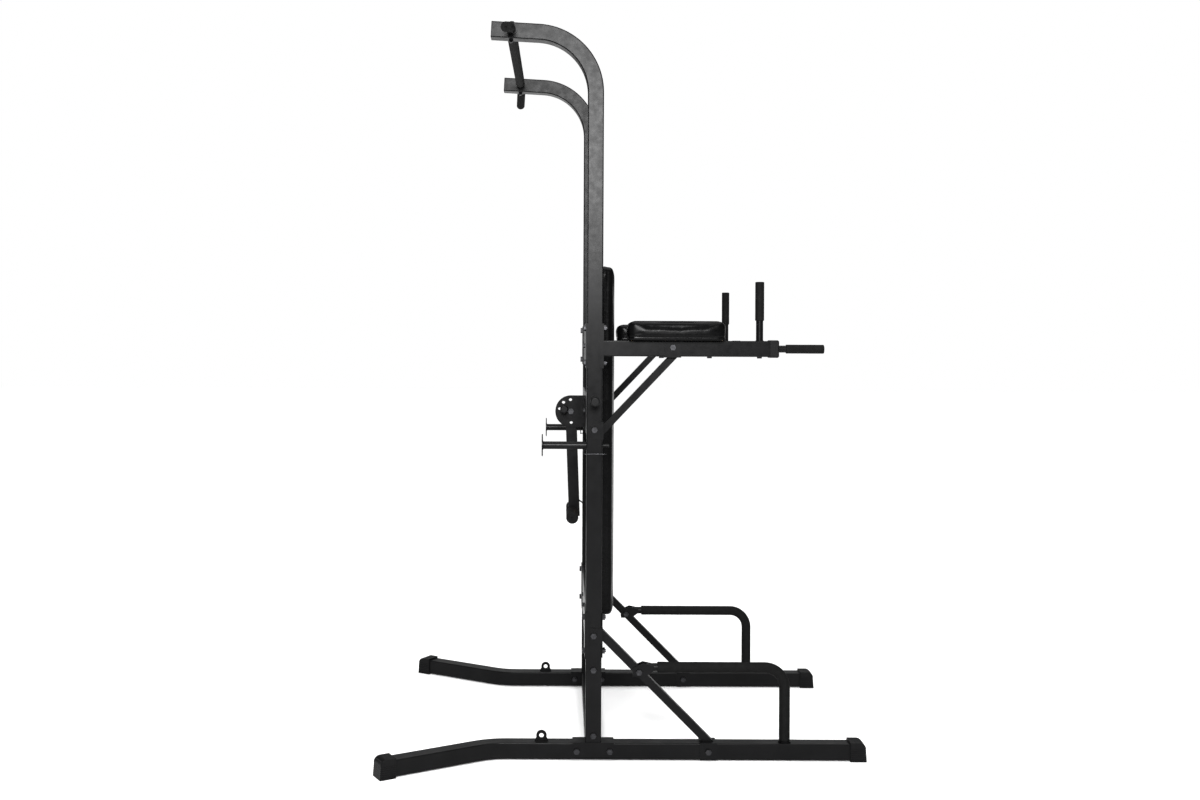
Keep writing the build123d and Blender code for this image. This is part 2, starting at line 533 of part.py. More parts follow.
# ---------------------------------------------------------------- dip arms, their pads and braces
arm_board_length = ARM_PAD_X[1] - ARM_PAD_X[0] - 2 * ARM_BOARD_INSET
arm_plate_z = (ARM_BRACE_PLATE[0] + ARM_BRACE_PLATE[1]) / 2
arm_plate_height = ARM_BRACE_PLATE[1] - ARM_BRACE_PLATE[0]
arm_brace_start = (POST_FRONT + PLATE, BRACE_BOLT_Z)
arm_brace_end = (ARM_BRACKET_X, DIP_Z - TUBE / 2 - PLATE)
for side, sign in SIDES:
    with BuildPart() as dip_arm:
        with BuildSketch(front_plane(POST_FRONT + PLATE)):
            with Locations((sign * SIDE_Y, DIP_Z)):
                hollow_square(TUBE, WALL, CORNER)
        extrude(amount=DIP_END_X - POST_FRONT - PLATE)
        plate_middle = (BEAM_TOP[0] + BEAM_TOP[1]) / 2
        plate_height = BEAM_TOP[1] - BEAM_TOP[0]
        with BuildSketch(front_plane(POST_FRONT)):
            with Locations((sign * (SIDE_Y + PLATE / 2), plate_middle)):
                Rectangle(TUBE + PLATE, plate_height)
        extrude(amount=PLATE)
        with BuildSketch(side_plane(sign * (OUTER_Y + PLATE / 2))):
            with Locations((POST_FRONT + PLATE - BEAM_LIP / 2, plate_middle)):
                Rectangle(BEAM_LIP, plate_height)
        extrude(amount=PLATE / 2, both=True)
        with BuildSketch(front_plane(POST_FRONT)):
            with Locations(*[(sign * SIDE_Y, z) for z in BEAM_TOP_BOLTS]):
                Circle(BOLT_R + HOLE_PLAY)
        extrude(amount=2 * PLATE, both=True, mode=Mode.SUBTRACT)
        with BuildSketch(side_plane(sign * SIDE_Y)):
            with Locations((ARM_BRACKET_X, ARM_BOLT_Z)):
                Circle(BOLT_R + HOLE_PLAY)
        extrude(amount=TUBE, both=True, mode=Mode.SUBTRACT)
        with BuildSketch(Plane.XY.offset(DIP_Z)):
            with Locations(*[(x, sign * SIDE_Y) for x in (*ARM_PAD_SCREWS, HANDLE_X)]):
                Circle(SCREW_HOLE_R)
        extrude(amount=TUBE, both=True, mode=Mode.SUBTRACT)
        with BuildSketch(front_plane(DIP_END_X - HANDLE_DEPTH)):
            with Locations((sign * SIDE_Y, DIP_Z)):
                Rectangle(TUBE - WALL, TUBE - WALL)
        extrude(amount=PLATE)
        with BuildSketch(front_plane(DIP_END_X - HANDLE_DEPTH)):
            with Locations((sign * SIDE_Y, DIP_Z)):
                Circle(HANDLE_R)
        extrude(amount=GRIP_END_X - GRIP_CAP - DIP_END_X + HANDLE_DEPTH)
        with BuildSketch(front_plane(DIP_END_X - HANDLE_DEPTH)):
            with Locations((sign * SIDE_Y, DIP_Z)):
                Circle(HANDLE_R - WALL)
        extrude(amount=GRIP_END_X - DIP_END_X + HANDLE_DEPTH, mode=Mode.SUBTRACT)
    finish(dip_arm, f"dip_arm_{side}")

    with BuildPart() as arm_pad:
        with BuildSketch(front_plane(ARM_PAD_X[0])):
            with Locations((sign * SIDE_Y, (ARM_PAD_TOP + DIP_Z + TUBE / 2) / 2)):
                Rectangle(ARM_PAD_WIDTH, ARM_PAD_TOP - DIP_Z - TUBE / 2)
        extrude(amount=ARM_PAD_X[1] - ARM_PAD_X[0])
        fillet(arm_pad.edges().filter_by(Axis.Z), ARM_PAD_CORNER)
        fillet(arm_pad.edges().group_by(Axis.Z)[-1], ARM_PAD_EDGE)
        with BuildSketch(Plane.XY.offset(DIP_Z + TUBE / 2)):
            with Locations(((ARM_PAD_X[0] + ARM_PAD_X[1]) / 2, sign * SIDE_Y)):
                Rectangle(arm_board_length, ARM_PAD_WIDTH - 2 * ARM_BOARD_INSET)
        extrude(amount=BOARD, mode=Mode.SUBTRACT)
    finish(arm_pad, f"arm_pad_{side}")

    with BuildPart() as arm_brace:
        with BuildSketch(side_plane(sign * SIDE_Y)):
            with BuildLine():
                Polyline(*brace_outline(arm_brace_start, arm_brace_end, ARM_BRACE / 2), close=True)
            make_face()
        extrude(amount=ARM_BRACE / 2, both=True)
        arm_brace_bore = ARM_BRACE / 2 - ARM_BRACE_WALL
        with BuildSketch(side_plane(sign * SIDE_Y)):
            with BuildLine():
                Polyline(*brace_outline(arm_brace_start, arm_brace_end, arm_brace_bore), close=True)
            make_face()
        extrude(amount=arm_brace_bore, both=True, mode=Mode.SUBTRACT)
        with BuildSketch(front_plane(POST_FRONT)):
            with Locations((sign * (SIDE_Y + PLATE / 2), arm_plate_z)):
                Rectangle(TUBE + PLATE, arm_plate_height)
        extrude(amount=PLATE)
        with BuildSketch(side_plane(sign * (OUTER_Y + PLATE / 2))):
            with Locations((POST_FRONT + PLATE - BRACE_LIP / 2, arm_plate_z)):
                Rectangle(BRACE_LIP, arm_plate_height)
            with Locations((POST_X, BRACE_BOLT_Z)):
                Circle(BOLT_R + HOLE_PLAY, mode=Mode.SUBTRACT)
        extrude(amount=PLATE / 2, both=True)
        with BuildSketch(front_plane(ARM_BRACKET_X)):
            with Locations((sign * SIDE_Y, arm_brace_end[1] + ARM_BRACKET_HEIGHT / 2)):
                Rectangle(TUBE + 2 * PLATE, ARM_BRACKET_HEIGHT)
            with Locations((sign * SIDE_Y, DIP_Z)):
                Rectangle(TUBE, TUBE, mode=Mode.SUBTRACT)
        extrude(amount=BRACKET_HALF, both=True)
        fillet(arm_brace.edges().filter_by(Axis.Y).group_by(Axis.Z)[-1], ARM_BRACKET_ROUND)
        with BuildSketch(side_plane(sign * SIDE_Y)):
            with Locations((ARM_BRACKET_X, ARM_BOLT_Z)):
                Circle(BOLT_R + HOLE_PLAY)
        extrude(amount=TUBE, both=True, mode=Mode.SUBTRACT)
    finish(arm_brace, f"arm_brace_{side}")

with BuildPart() as upright_handles:
    for sign in (-1, 1):
        with BuildSketch(Plane.XY.offset(DIP_Z + TUBE / 2)):
            with Locations((HANDLE_X, sign * SIDE_Y)):
                Circle(HANDLE_R)
        extrude(amount=HANDLE_TOP - DIP_Z - TUBE / 2)
        with BuildSketch(Plane.XY.offset(HANDLE_TOP)):
            with Locations((HANDLE_X, sign * SIDE_Y)):
                Circle(HANDLE_R - WALL)
        extrude(amount=-(HANDLE_TOP - DIP_Z - TUBE / 2 - HANDLE_FOOT), mode=Mode.SUBTRACT)
        with BuildSketch(Plane.XY.offset(DIP_Z + TUBE / 2)):
            with Locations((HANDLE_X, sign * SIDE_Y)):
                Circle(PAD_SCREW_R + SLIP_FIT)
        extrude(amount=HANDLE_THREAD, mode=Mode.SUBTRACT)
finish(upright_handles, "upright_handles")

with BuildPart() as dip_arm_caps:
    for sign in (-1, 1):
        with BuildSketch(front_plane(DIP_END_X - DIP_CAP_LAP)):
            with Locations((sign * SIDE_Y, DIP_Z)):
                RectangleRounded(DIP_CAP, DIP_CAP, DIP_CAP_EDGE)
        extrude(amount=DIP_CAP_X - DIP_END_X + DIP_CAP_LAP)
    chamfer(dip_arm_caps.faces().filter_by(Plane.YZ).group_by(Axis.X)[-1].edges(), DIP_CAP_EDGE)
    for sign in (-1, 1):
        with BuildSketch(front_plane(DIP_END_X - DIP_CAP_LAP)):
            with Locations((sign * SIDE_Y, DIP_Z)):
                Rectangle(TUBE, TUBE)
        extrude(amount=DIP_CAP_LAP, mode=Mode.SUBTRACT)
        with BuildSketch(front_plane(DIP_END_X)):
            with Locations((sign * SIDE_Y, DIP_Z)):
                Circle(HANDLE_R + SLIP_FIT)
        extrude(amount=DIP_CAP, mode=Mode.SUBTRACT)
finish(dip_arm_caps, "dip_arm_caps")

with BuildPart() as dip_grip_foams:
    for sign in (-1, 1):
        with BuildSketch(front_plane(GRIP_START_X)):
            with Locations((sign * SIDE_Y, DIP_Z)):
                Circle(GRIP_R)
        extrude(amount=GRIP_END_X - GRIP_START_X)
    fillet(dip_grip_foams.faces().filter_by(Plane.YZ).group_by(Axis.X)[-1].edges(), GRIP_EDGE)
    for sign in (-1, 1):
        with BuildSketch(front_plane(GRIP_START_X)):
            with Locations((sign * SIDE_Y, DIP_Z)):
                Circle(HANDLE_R)
        extrude(amount=GRIP_END_X - GRIP_START_X - GRIP_CAP, mode=Mode.SUBTRACT)
finish(dip_grip_foams, "dip_grip_foams")

with BuildPart() as upright_grip_foams:
    for sign in (-1, 1):
        with BuildSketch(Plane.XY.offset(GRIP_LOW)):
            with Locations((HANDLE_X, sign * SIDE_Y)):
                Circle(GRIP_R)
        extrude(amount=HANDLE_TOP - GRIP_LOW + GRIP_CAP)
    fillet(upright_grip_foams.faces().filter_by(Plane.XY).group_by(Axis.Z)[-1].edges(), GRIP_EDGE)
    for sign in (-1, 1):
        with BuildSketch(Plane.XY.offset(GRIP_LOW)):
            with Locations((HANDLE_X, sign * SIDE_Y)):
                Circle(HANDLE_R)
        extrude(amount=HANDLE_TOP - GRIP_LOW, mode=Mode.SUBTRACT)
finish(upright_grip_foams, "upright_grip_foams")

with BuildPart() as arm_pad_boards:
    for sign in (-1, 1):
        with BuildSketch(Plane.XY.offset(DIP_Z + TUBE / 2)):
            with Locations(((ARM_PAD_X[0] + ARM_PAD_X[1]) / 2, sign * SIDE_Y)):
                Rectangle(arm_board_length, ARM_PAD_WIDTH - 2 * ARM_BOARD_INSET)
            with Locations(*[(x, sign * SIDE_Y) for x in ARM_PAD_SCREWS]):
                Circle(PAD_SCREW_R + SLIP_FIT, mode=Mode.SUBTRACT)
        extrude(amount=BOARD)
finish(arm_pad_boards, "arm_pad_boards")

# ---------------------------------------------------------------- back pad
pad_middle = (BACK_PAD_Z[0] + BACK_PAD_Z[1]) / 2
pad_height = BACK_PAD_Z[1] - BACK_PAD_Z[0]
back_board_width = BACK_PAD_WIDTH - 2 * BACK_BOARD_INSET
back_board_height = pad_height - 2 * BACK_BOARD_INSET
with BuildPart() as back_pad:
    with BuildSketch(front_plane(POST_FRONT)):
        with Locations((0, pad_middle)):
            RectangleRounded(BACK_PAD_WIDTH, pad_height, BACK_PAD_CORNER)
    extrude(amount=BACK_PAD_FRONT_X - POST_FRONT)
    fillet(back_pad.edges().group_by(Axis.X)[-1], BACK_PAD_EDGE)
    with BuildSketch(front_plane(POST_FRONT)):
        with Locations((0, pad_middle)):
            Rectangle(back_board_width, back_board_height)
    extrude(amount=BOARD, mode=Mode.SUBTRACT)
finish(back_pad, "back_pad")

with BuildPart() as back_pad_board:
    with BuildSketch(front_plane(POST_FRONT)):
        with Locations((0, pad_middle)):
            Rectangle(back_board_width, back_board_height)
        with Locations(*[(sign * PAD_SCREW_Y, z) for sign in (-1, 1) for z in PAD_SCREW_Z]):
            Circle(PAD_SCREW_R + SLIP_FIT, mode=Mode.SUBTRACT)
    extrude(amount=BOARD)
finish(back_pad_board, "back_pad_board")

# ---------------------------------------------------------------- base braces and push-up bars
base_brace_end = (BASE_BRACE_X, RAIL_TOP + PLATE)
base_brace_start = (POST_FRONT + PLATE, RAIL_TOP + BASE_BRACE_X - POST_FRONT)
base_brace_bore = BASE_BRACE / 2 - WALL
base_plate_z = (BASE_BRACE_PLATE[0] + BASE_BRACE_PLATE[1]) / 2
base_bracket_low = RAIL_LIFT + BASE_BRACKET_GAP
for side, sign in SIDES:
    with BuildPart() as base_brace:
        with BuildSketch(side_plane(sign * SIDE_Y)):
            with BuildLine():
                Polyline(*brace_outline(base_brace_start, base_brace_end, BASE_BRACE / 2), close=True)
            make_face()
        extrude(amount=BASE_BRACE / 2, both=True)
        with BuildSketch(side_plane(sign * SIDE_Y)):
            with BuildLine():
                Polyline(*brace_outline(base_brace_start, base_brace_end, base_brace_bore), close=True)
            make_face()
        extrude(amount=base_brace_bore, both=True, mode=Mode.SUBTRACT)
        with BuildSketch(front_plane(POST_FRONT)):
            with Locations((sign * (SIDE_Y + PLATE / 2), base_plate_z)):
                Rectangle(TUBE + PLATE, BASE_BRACE_PLATE[1] - BASE_BRACE_PLATE[0])
            with Locations(*[(sign * SIDE_Y, z) for z in BEAM_BOTTOM_BOLTS]):
                Circle(BOLT_R + HOLE_PLAY, mode=Mode.SUBTRACT)
        extrude(amount=PLATE)
        with BuildSketch(side_plane(sign * (OUTER_Y + PLATE / 2))):
            with Locations((POST_FRONT + PLATE - BRACE_LIP / 2, BASE_BRACE_BOLT_Z)):
                Rectangle(BRACE_LIP, BASE_BRACE_LIP)
            with Locations((POST_X, BASE_BRACE_BOLT_Z)):
                Circle(BOLT_R + HOLE_PLAY, mode=Mode.SUBTRACT)
        extrude(amount=PLATE / 2, both=True)
        with BuildSketch(front_plane(BASE_BRACE_X)):
            with Locations((sign * SIDE_Y, (base_bracket_low + RAIL_TOP + PLATE) / 2)):
                Rectangle(TUBE + 2 * PLATE, RAIL_TOP + PLATE - base_bracket_low)
            with Locations((sign * SIDE_Y, RAIL_TOP / 2)):
                Rectangle(TUBE, RAIL_TOP, mode=Mode.SUBTRACT)
        extrude(amount=BRACKET_HALF, both=True)
        with BuildSketch(side_plane(sign * SIDE_Y)):
            with Locations((BASE_BRACE_X, RAIL_Z), PUSH_BOLT):
                Circle(BOLT_R + HOLE_PLAY)
        extrude(amount=TUBE, both=True, mode=Mode.SUBTRACT)
    finish(base_brace, f"base_brace_{side}")

    with BuildPart() as push_up_bar:
        for plate_sign in (-1, 1):
            with BuildSketch(side_plane(sign * SIDE_Y + plate_sign * (PUSH_FORK + PLATE / 2))):
                with BuildLine():
                    Polyline(*PUSH_PLATE, close=True)
                make_face()
                with Locations(PUSH_BOLT):
                    Circle(BOLT_R + HOLE_PLAY, mode=Mode.SUBTRACT)
            extrude(amount=PLATE / 2, both=True)
        with BuildSketch(front_plane(PUSH_START_X)):
            with Locations((sign * SIDE_Y, PUSH_Z)):
                Rectangle(2 * PUSH_FORK, PUSH_BLOCK[1])
        extrude(amount=PUSH_BLOCK[0])
        with BuildSketch(Plane.XY.offset(RAIL_TOP)):
            with Locations((PUSH_X, sign * SIDE_Y)):
                Circle(PUSH_FLANGE_R)
        extrude(amount=PLATE)
        with BuildLine():
            FilletPolyline(
                (PUSH_START_X, sign * SIDE_Y, PUSH_Z),
                (PUSH_X, sign * SIDE_Y, PUSH_Z),
                (PUSH_X, sign * SIDE_Y, RAIL_TOP),
                radius=PUSH_BEND_R,
            )
        with BuildSketch(front_plane(PUSH_START_X)):
            with Locations((sign * SIDE_Y, PUSH_Z)):
                Circle(PUSH_R)
                Circle(PUSH_R - WALL, mode=Mode.SUBTRACT)
        sweep()
    finish(push_up_bar, f"push_up_bar_{side}")

    with BuildPart() as push_up_foam:
        with BuildLine():
            FilletPolyline(
                (PUSH_FOAM_X, sign * SIDE_Y, PUSH_Z),
                (PUSH_X, sign * SIDE_Y, PUSH_Z),
                (PUSH_X, sign * SIDE_Y, RAIL_TOP + PLATE + 1),
                radius=PUSH_BEND_R,
            )
        with BuildSketch(front_plane(PUSH_FOAM_X)):
            with Locations((sign * SIDE_Y, PUSH_Z)):
                Circle(PUSH_FOAM_R)
                Circle(PUSH_R, mode=Mode.SUBTRACT)
        sweep()
    finish(push_up_foam, f"push_up_foam_{side}")

# ---------------------------------------------------------------- swing arm and its bracket
tilt = radians(SWING_TILT)
arm_down = Vector(sin(tilt), 0, -cos(tilt))
arm_back = Vector(-cos(tilt), 0, -sin(tilt))
pivot = Vector(PIVOT_X, 0, PIVOT_Z)
foot_bar = pivot + arm_down * FOOT_BAR_DROP + arm_back * FOOT_BAR_BACK
CHEEK_Y = SWING_TUBE / 2 + CHEEK_GAP + CHEEK / 2
lock_points = []
for angle in LOCK_HOLE_ANGLES:
    turned = radians(-90 + SWING_TILT - angle)
    lock_points.append((PIVOT_X + LOCK_HOLE_R * cos(turned), PIVOT_Z + LOCK_HOLE_R * sin(turned)))

with BuildPart() as swing_bracket:
    with BuildSketch(front_plane(POST_REAR - CHEEK)):
        with Locations((0, BRACKET_Z)):
            RectangleRounded(*BRACKET_PLATE, BRACKET_CORNER)
        with Locations(*BRACKET_SCREWS):
            Circle(SCREW_HOLE_R, mode=Mode.SUBTRACT)
    extrude(amount=CHEEK)
    for y in (-CHEEK_Y, CHEEK_Y):
        with BuildSketch(side_plane(y)):
            with Locations((PIVOT_X, PIVOT_Z)):
                Circle(CHEEK_R)
            with Locations(((PIVOT_X + POST_REAR - CHEEK) / 2, PIVOT_Z)):
                Rectangle(POST_REAR - CHEEK - PIVOT_X, 2 * CHEEK_R)
            with Locations((PIVOT_X, PIVOT_Z)):
                Circle(PIVOT_R + PIVOT_PLAY, mode=Mode.SUBTRACT)
            with Locations(*lock_points):
                Circle(LOCK_PIN_HOLE_R, mode=Mode.SUBTRACT)
            with Locations((KNOB_X, KNOB_Z)):
                Circle(LOCK_PIN_R + SLIP_FIT, mode=Mode.SUBTRACT)
            with Locations((POST_X, PIVOT_Z)):
                Rectangle(TUBE, 3 * CHEEK_R, mode=Mode.SUBTRACT)
        extrude(amount=CHEEK / 2, both=True)
    with BuildSketch(side_plane(-CHEEK_Y - CHEEK / 2)):
        with Locations((KNOB_X, KNOB_Z)):
            Circle(BARREL_R)
            Circle(LOCK_PIN_R + SLIP_FIT, mode=Mode.SUBTRACT)
    extrude(amount=BARREL_LENGTH)
finish(swing_bracket, "swing_bracket")

with BuildPart() as swing_arm_tube:
    arm_head = Plane(origin=pivot - arm_down * SWING_HEAD, x_dir=(0, 1, 0), z_dir=arm_down)
    with BuildSketch(arm_head):
        hollow_square(SWING_TUBE, WALL, SWING_CORNER)
    extrude(amount=SWING_LENGTH + SWING_HEAD)
    with BuildSketch(arm_head.offset(SWING_LENGTH + SWING_HEAD - PLATE)):
        RectangleRounded(SWING_TUBE, SWING_TUBE, SWING_CORNER)
    extrude(amount=PLATE)
    with BuildSketch(side_plane(0)):
        with Locations((PIVOT_X, PIVOT_Z)):
            Circle(PIVOT_R + PIVOT_PLAY)
        with Locations(lock_points[0]):
            Circle(LOCK_PIN_HOLE_R)
        with Locations((foot_bar.X, foot_bar.Z)):
            Circle(HANDLE_R)
    extrude(amount=SWING_TUBE, both=True, mode=Mode.SUBTRACT)
    hook_path = []
    for drop, stand_off in HOOK:
        hook_path.append(pivot + arm_down * drop - arm_back * (SWING_TUBE / 2 + stand_off))
    with BuildLine() as hook_line:
        FilletPolyline(*hook_path, radius=HOOK_BEND_R)
    with BuildSketch(Plane(origin=hook_line.line @ 0, z_dir=hook_line.line % 0)):
        Circle(HOOK_R)
    sweep()
finish(swing_arm_tube, "swing_arm_tube")

with BuildPart() as swing_arm_foot_bar:
    with BuildSketch(side_plane(0)):
        with Locations((foot_bar.X, foot_bar.Z)):
            Circle(HANDLE_R)
            Circle(HANDLE_R - WALL, mode=Mode.SUBTRACT)
    extrude(amount=FOOT_BAR_HALF, both=True)
finish(swing_arm_foot_bar, "swing_arm_foot_bar")

with BuildPart() as swing_arm_grips:
    for sign in (-1, 1):
        with BuildSketch(side_plane(sign * FOOT_GRIP[0])):
            with Locations((foot_bar.X, foot_bar.Z)):
                Circle(FOOT_GRIP_R)
        extrude(amount=-sign * (FOOT_GRIP[1] - FOOT_GRIP[0]))
        fillet(swing_arm_grips.faces().sort_by(Axis.Y)[0 if sign < 0 else -1].edges(), GRIP_EDGE)
        with BuildSketch(side_plane(sign * FOOT_GRIP[0])):
            with Locations((foot_bar.X, foot_bar.Z)):
                Circle(HANDLE_R)
        extrude(amount=-sign * (FOOT_BAR_HALF - FOOT_GRIP[0]), mode=Mode.SUBTRACT)
finish(swing_arm_grips, "swing_arm_grips")

with BuildPart() as swing_pivot_bolt:
    with BuildSketch(side_plane(0)):
        with Locations((PIVOT_X, PIVOT_Z)):
            Circle(PIVOT_R)
    extrude(amount=PIVOT_BOLT_HALF, both=True)
    for y, hex_height in ((-CHEEK_Y - CHEEK / 2, NUT), (CHEEK_Y + CHEEK / 2, -NUT)):
        with BuildSketch(side_plane(y)):
            with Locations((PIVOT_X, PIVOT_Z)):
                RegularPolygon(PIVOT_FLATS / 2, 6, major_radius=False)
        extrude(amount=hex_height)
finish(swing_pivot_bolt, "swing_pivot_bolt")

knob_face = CHEEK_Y + CHEEK / 2 + BARREL_LENGTH + KNOB_GAP
pin_tip = SWING_TUBE / 2 + LOCK_TIP_GAP
with BuildPart() as swing_lock_pin:
    with BuildSketch(side_plane(-pin_tip)):
        with Locations((KNOB_X, KNOB_Z)):
            Circle(LOCK_PIN_R)
    extrude(amount=knob_face + KNOB_GAP - pin_tip)
    with BuildSketch(side_plane(-knob_face)):
        with Locations((KNOB_X, KNOB_Z)):
            Circle(KNOB_R)
    extrude(amount=KNOB_LENGTH)
    fillet(swing_lock_pin.faces().sort_by(Axis.Y)[0].edges(), KNOB_EDGE)
finish(swing_lock_pin, "swing_lock_pin")

# ---------------------------------------------------------------- rack pegs and their wire clips
CLIP_X = -127.0
CLIP_Z = 963.0
CLIP_R = 1.5
CLIP_SIDE = 29.5        # the wire runs this far from the post's middle plane
CLIP_FRONT_X = -58.6
CLIP_HOOK = 20.5        # where the hook ends, from the same plane
CLIP_BEND_R = 4.0
CLIP_RISE = 16.0        # wire's leg above the peg's axis
CLIP_PLAY = 0.06
PEG_END_X = -257.4
PEG_R = 12.0
PEG_BORE_R = 10.0
PEG_ROOT = 40.0         # solid length at the upright
PEG_GAP = 0.3
PEG_DISC_R = 35.0
PEG_PIN_TIP_X = -47.3
PEG_PIN_LAP = 2.0
PEG_PIN_EDGE = 1.2
for side, sign in SIDES:
    with BuildPart() as rack_peg:
        with BuildSketch(front_plane(PEG_END_X)):
            with Locations((sign * SIDE_Y, PEG_Z)):
                Circle(PEG_R)
        extrude(amount=POST_REAR - PEG_END_X - PEG_GAP)
        with BuildSketch(front_plane(PEG_END_X)):
            with Locations((sign * SIDE_Y, PEG_Z)):
                Circle(PEG_BORE_R)
        extrude(amount=POST_REAR - PEG_END_X - PEG_ROOT, mode=Mode.SUBTRACT)
        with BuildSketch(front_plane(PEG_END_X - PLATE)):
            with Locations((sign * SIDE_Y, PEG_Z)):
                Circle(PEG_DISC_R)
        extrude(amount=PLATE)
        with BuildSketch(front_plane(POST_REAR - PEG_PIN_LAP)):
            with Locations((sign * SIDE_Y, PEG_Z)):
                Circle(PEG_PIN_R)
        extrude(amount=PEG_PIN_TIP_X - POST_REAR + PEG_PIN_LAP)
        chamfer(rack_peg.faces().sort_by(Axis.X)[-1].edges(), PEG_PIN_EDGE)
        with BuildSketch(Plane.XY.offset(PEG_Z)):
            with Locations((CLIP_X, sign * SIDE_Y)):
                Circle(CLIP_R + CLIP_PLAY)
        extrude(amount=2 * PEG_R, both=True, mode=Mode.SUBTRACT)
    finish(rack_peg, f"rack_peg_{side}")

    with BuildPart() as peg_clip:
        with BuildLine():
            FilletPolyline(
                (CLIP_X, sign * SIDE_Y, PEG_Z + CLIP_RISE),
                (CLIP_X, sign * SIDE_Y, CLIP_Z),
                (CLIP_X, sign * (SIDE_Y + CLIP_SIDE), CLIP_Z),
                (CLIP_FRONT_X, sign * (SIDE_Y + CLIP_SIDE), CLIP_Z),
                (CLIP_FRONT_X, sign * (SIDE_Y + CLIP_HOOK), CLIP_Z),
                radius=CLIP_BEND_R,
            )
        with BuildSketch(Plane(origin=(CLIP_X, sign * SIDE_Y, PEG_Z + CLIP_RISE), z_dir=(0, 0, -1))):
            Circle(CLIP_R)
        sweep()
    finish(peg_clip, f"peg_clip_{side}")

# ---------------------------------------------------------------- pop pins on the uprights
POP_TIP = 16.5          # pin's tip from the post's middle plane
POP_STEM = 35.0
POP_KNOB_SEAT = 19.0    # knob's inner end from the post's face
POP_KNOB_R = 14.5
POP_KNOB_LENGTH = 48.0
POP_KNOB_EDGE = 4.0
POP_NUT_FLATS = 22.0
POP_NUT = 7.0
POP_BARREL_R = 9.0
POP_BARREL = 11.0
for side, sign in SIDES:
    with BuildPart() as pop_pin:
        with BuildSketch(outward_plane(POST_X, sign * (SIDE_Y + POP_TIP), POP_PIN_Z)):
            Circle(POP_PIN_R)
        extrude(amount=POP_STEM)
        with BuildSketch(outward_plane(POST_X, sign * (OUTER_Y + POP_KNOB_SEAT), POP_PIN_Z)):
            Circle(POP_KNOB_R)
        extrude(amount=POP_KNOB_LENGTH)
        fillet(pop_pin.edges().filter_by(GeomType.CIRCLE).group_by(SortBy.RADIUS)[-1], POP_KNOB_EDGE)
    finish(pop_pin, f"pop_pin_{side}")

with BuildPart() as pop_pin_barrels:
    for sign in (-1, 1):
        with BuildSketch(outward_plane(POST_X, sign * OUTER_Y, POP_PIN_Z)):
            RegularPolygon(POP_NUT_FLATS / 2, 6, major_radius=False)
            Circle(POP_PIN_R + SLIP_FIT, mode=Mode.SUBTRACT)
        extrude(amount=POP_NUT)
        with BuildSketch(outward_plane(POST_X, sign * (OUTER_Y + POP_NUT), POP_PIN_Z)):
            Circle(POP_BARREL_R)
            Circle(POP_PIN_R + SLIP_FIT, mode=Mode.SUBTRACT)
        extrude(amount=POP_BARREL)
finish(pop_pin_barrels, "pop_pin_barrels")

# ---------------------------------------------------------------- fasteners
OUTER_SEAT = OUTER_Y + PLATE
PLATED_GRIP = TUBE + 2 * PLATE
rail_spots = [(x, RAIL_Z) for x in (POST_X - SADDLE_BOLT, POST_X + SADDLE_BOLT, BASE_BRACE_X)]
brace_spots = [(POST_X, BRACE_BOLT_Z), (POST_X, BASE_BRACE_BOLT_Z), (ARM_BRACKET_X, ARM_BOLT_Z)]
for group_name, group in (
    ("base_bolts", [
        (OUTER_SEAT, PLATED_GRIP, rail_spots),
        (OUTER_Y, TUBE, [(POST_X, z) for z in STUB_BOLTS]),
        (SIDE_Y + PUSH_FORK + PLATE, 2 * PUSH_FORK + 2 * PLATE, [PUSH_BOLT]),
    ]),
    ("brace_bolts", [(OUTER_SEAT, PLATED_GRIP, brace_spots)]),
):
    with BuildPart() as bolts:
        for seat, grip, spots in group:
            seats = [outward_plane(x, sign * seat, z) for sign in (-1, 1) for x, z in spots]
            with BuildSketch(*seats):
                Circle(BOLT_R)
            extrude(amount=-(grip + NUT + BOLT_TAIL))
            with BuildSketch(*seats):
                RegularPolygon(BOLT_FLATS / 2, 6, major_radius=False)
            extrude(amount=HEAD)
            with BuildSketch(*[spot.offset(-grip) for spot in seats]):
                RegularPolygon(BOLT_FLATS / 2, 6, major_radius=False)
            extrude(amount=-NUT)
    finish(bolts, group_name)

with BuildPart() as beam_bolts:
    seats = []
    for sign in (-1, 1):
        for z in (*BEAM_BOTTOM_BOLTS, *BEAM_TOP_BOLTS):
            seats.append(Plane(origin=(POST_REAR - PLATE, sign * SIDE_Y, z), z_dir=(-1, 0, 0)))
    with BuildSketch(*seats):
        Circle(BOLT_R)
    extrude(amount=-(PLATED_GRIP + NUT + BOLT_TAIL))
    with BuildSketch(*seats):
        RegularPolygon(BOLT_FLATS / 2, 6, major_radius=False)
    extrude(amount=HEAD)
    with BuildSketch(*[spot.offset(-PLATED_GRIP) for spot in seats]):
        RegularPolygon(BOLT_FLATS / 2, 6, major_radius=False)
    extrude(amount=-NUT)
finish(beam_bolts, "beam_bolts")

with BuildPart() as bar_lock_bolts:
    arm_tops = []
    for sign in (-1, 1):
        on_top = Vector(BAR_X, sign * SIDE_Y, BAR_Z) + arm_normal * (TUBE / 2)
        arm_tops.append(Plane(origin=on_top, x_dir=(0, 1, 0), z_dir=arm_normal))
    with BuildSketch(*arm_tops):
        Circle(BAR_LOCK_R)
    extrude(amount=-(TUBE + BAR_LOCK_HEAD + BOLT_TAIL))
    with BuildSketch(*arm_tops):
        RegularPolygon(BAR_LOCK_FLATS / 2, 6, major_radius=False)
    extrude(amount=BAR_LOCK_HEAD)
    with BuildSketch(*[spot.offset(-TUBE) for spot in arm_tops]):
        RegularPolygon(BAR_LOCK_FLATS / 2, 6, major_radius=False)
    extrude(amount=-BAR_LOCK_HEAD)
finish(bar_lock_bolts, "bar_lock_bolts")

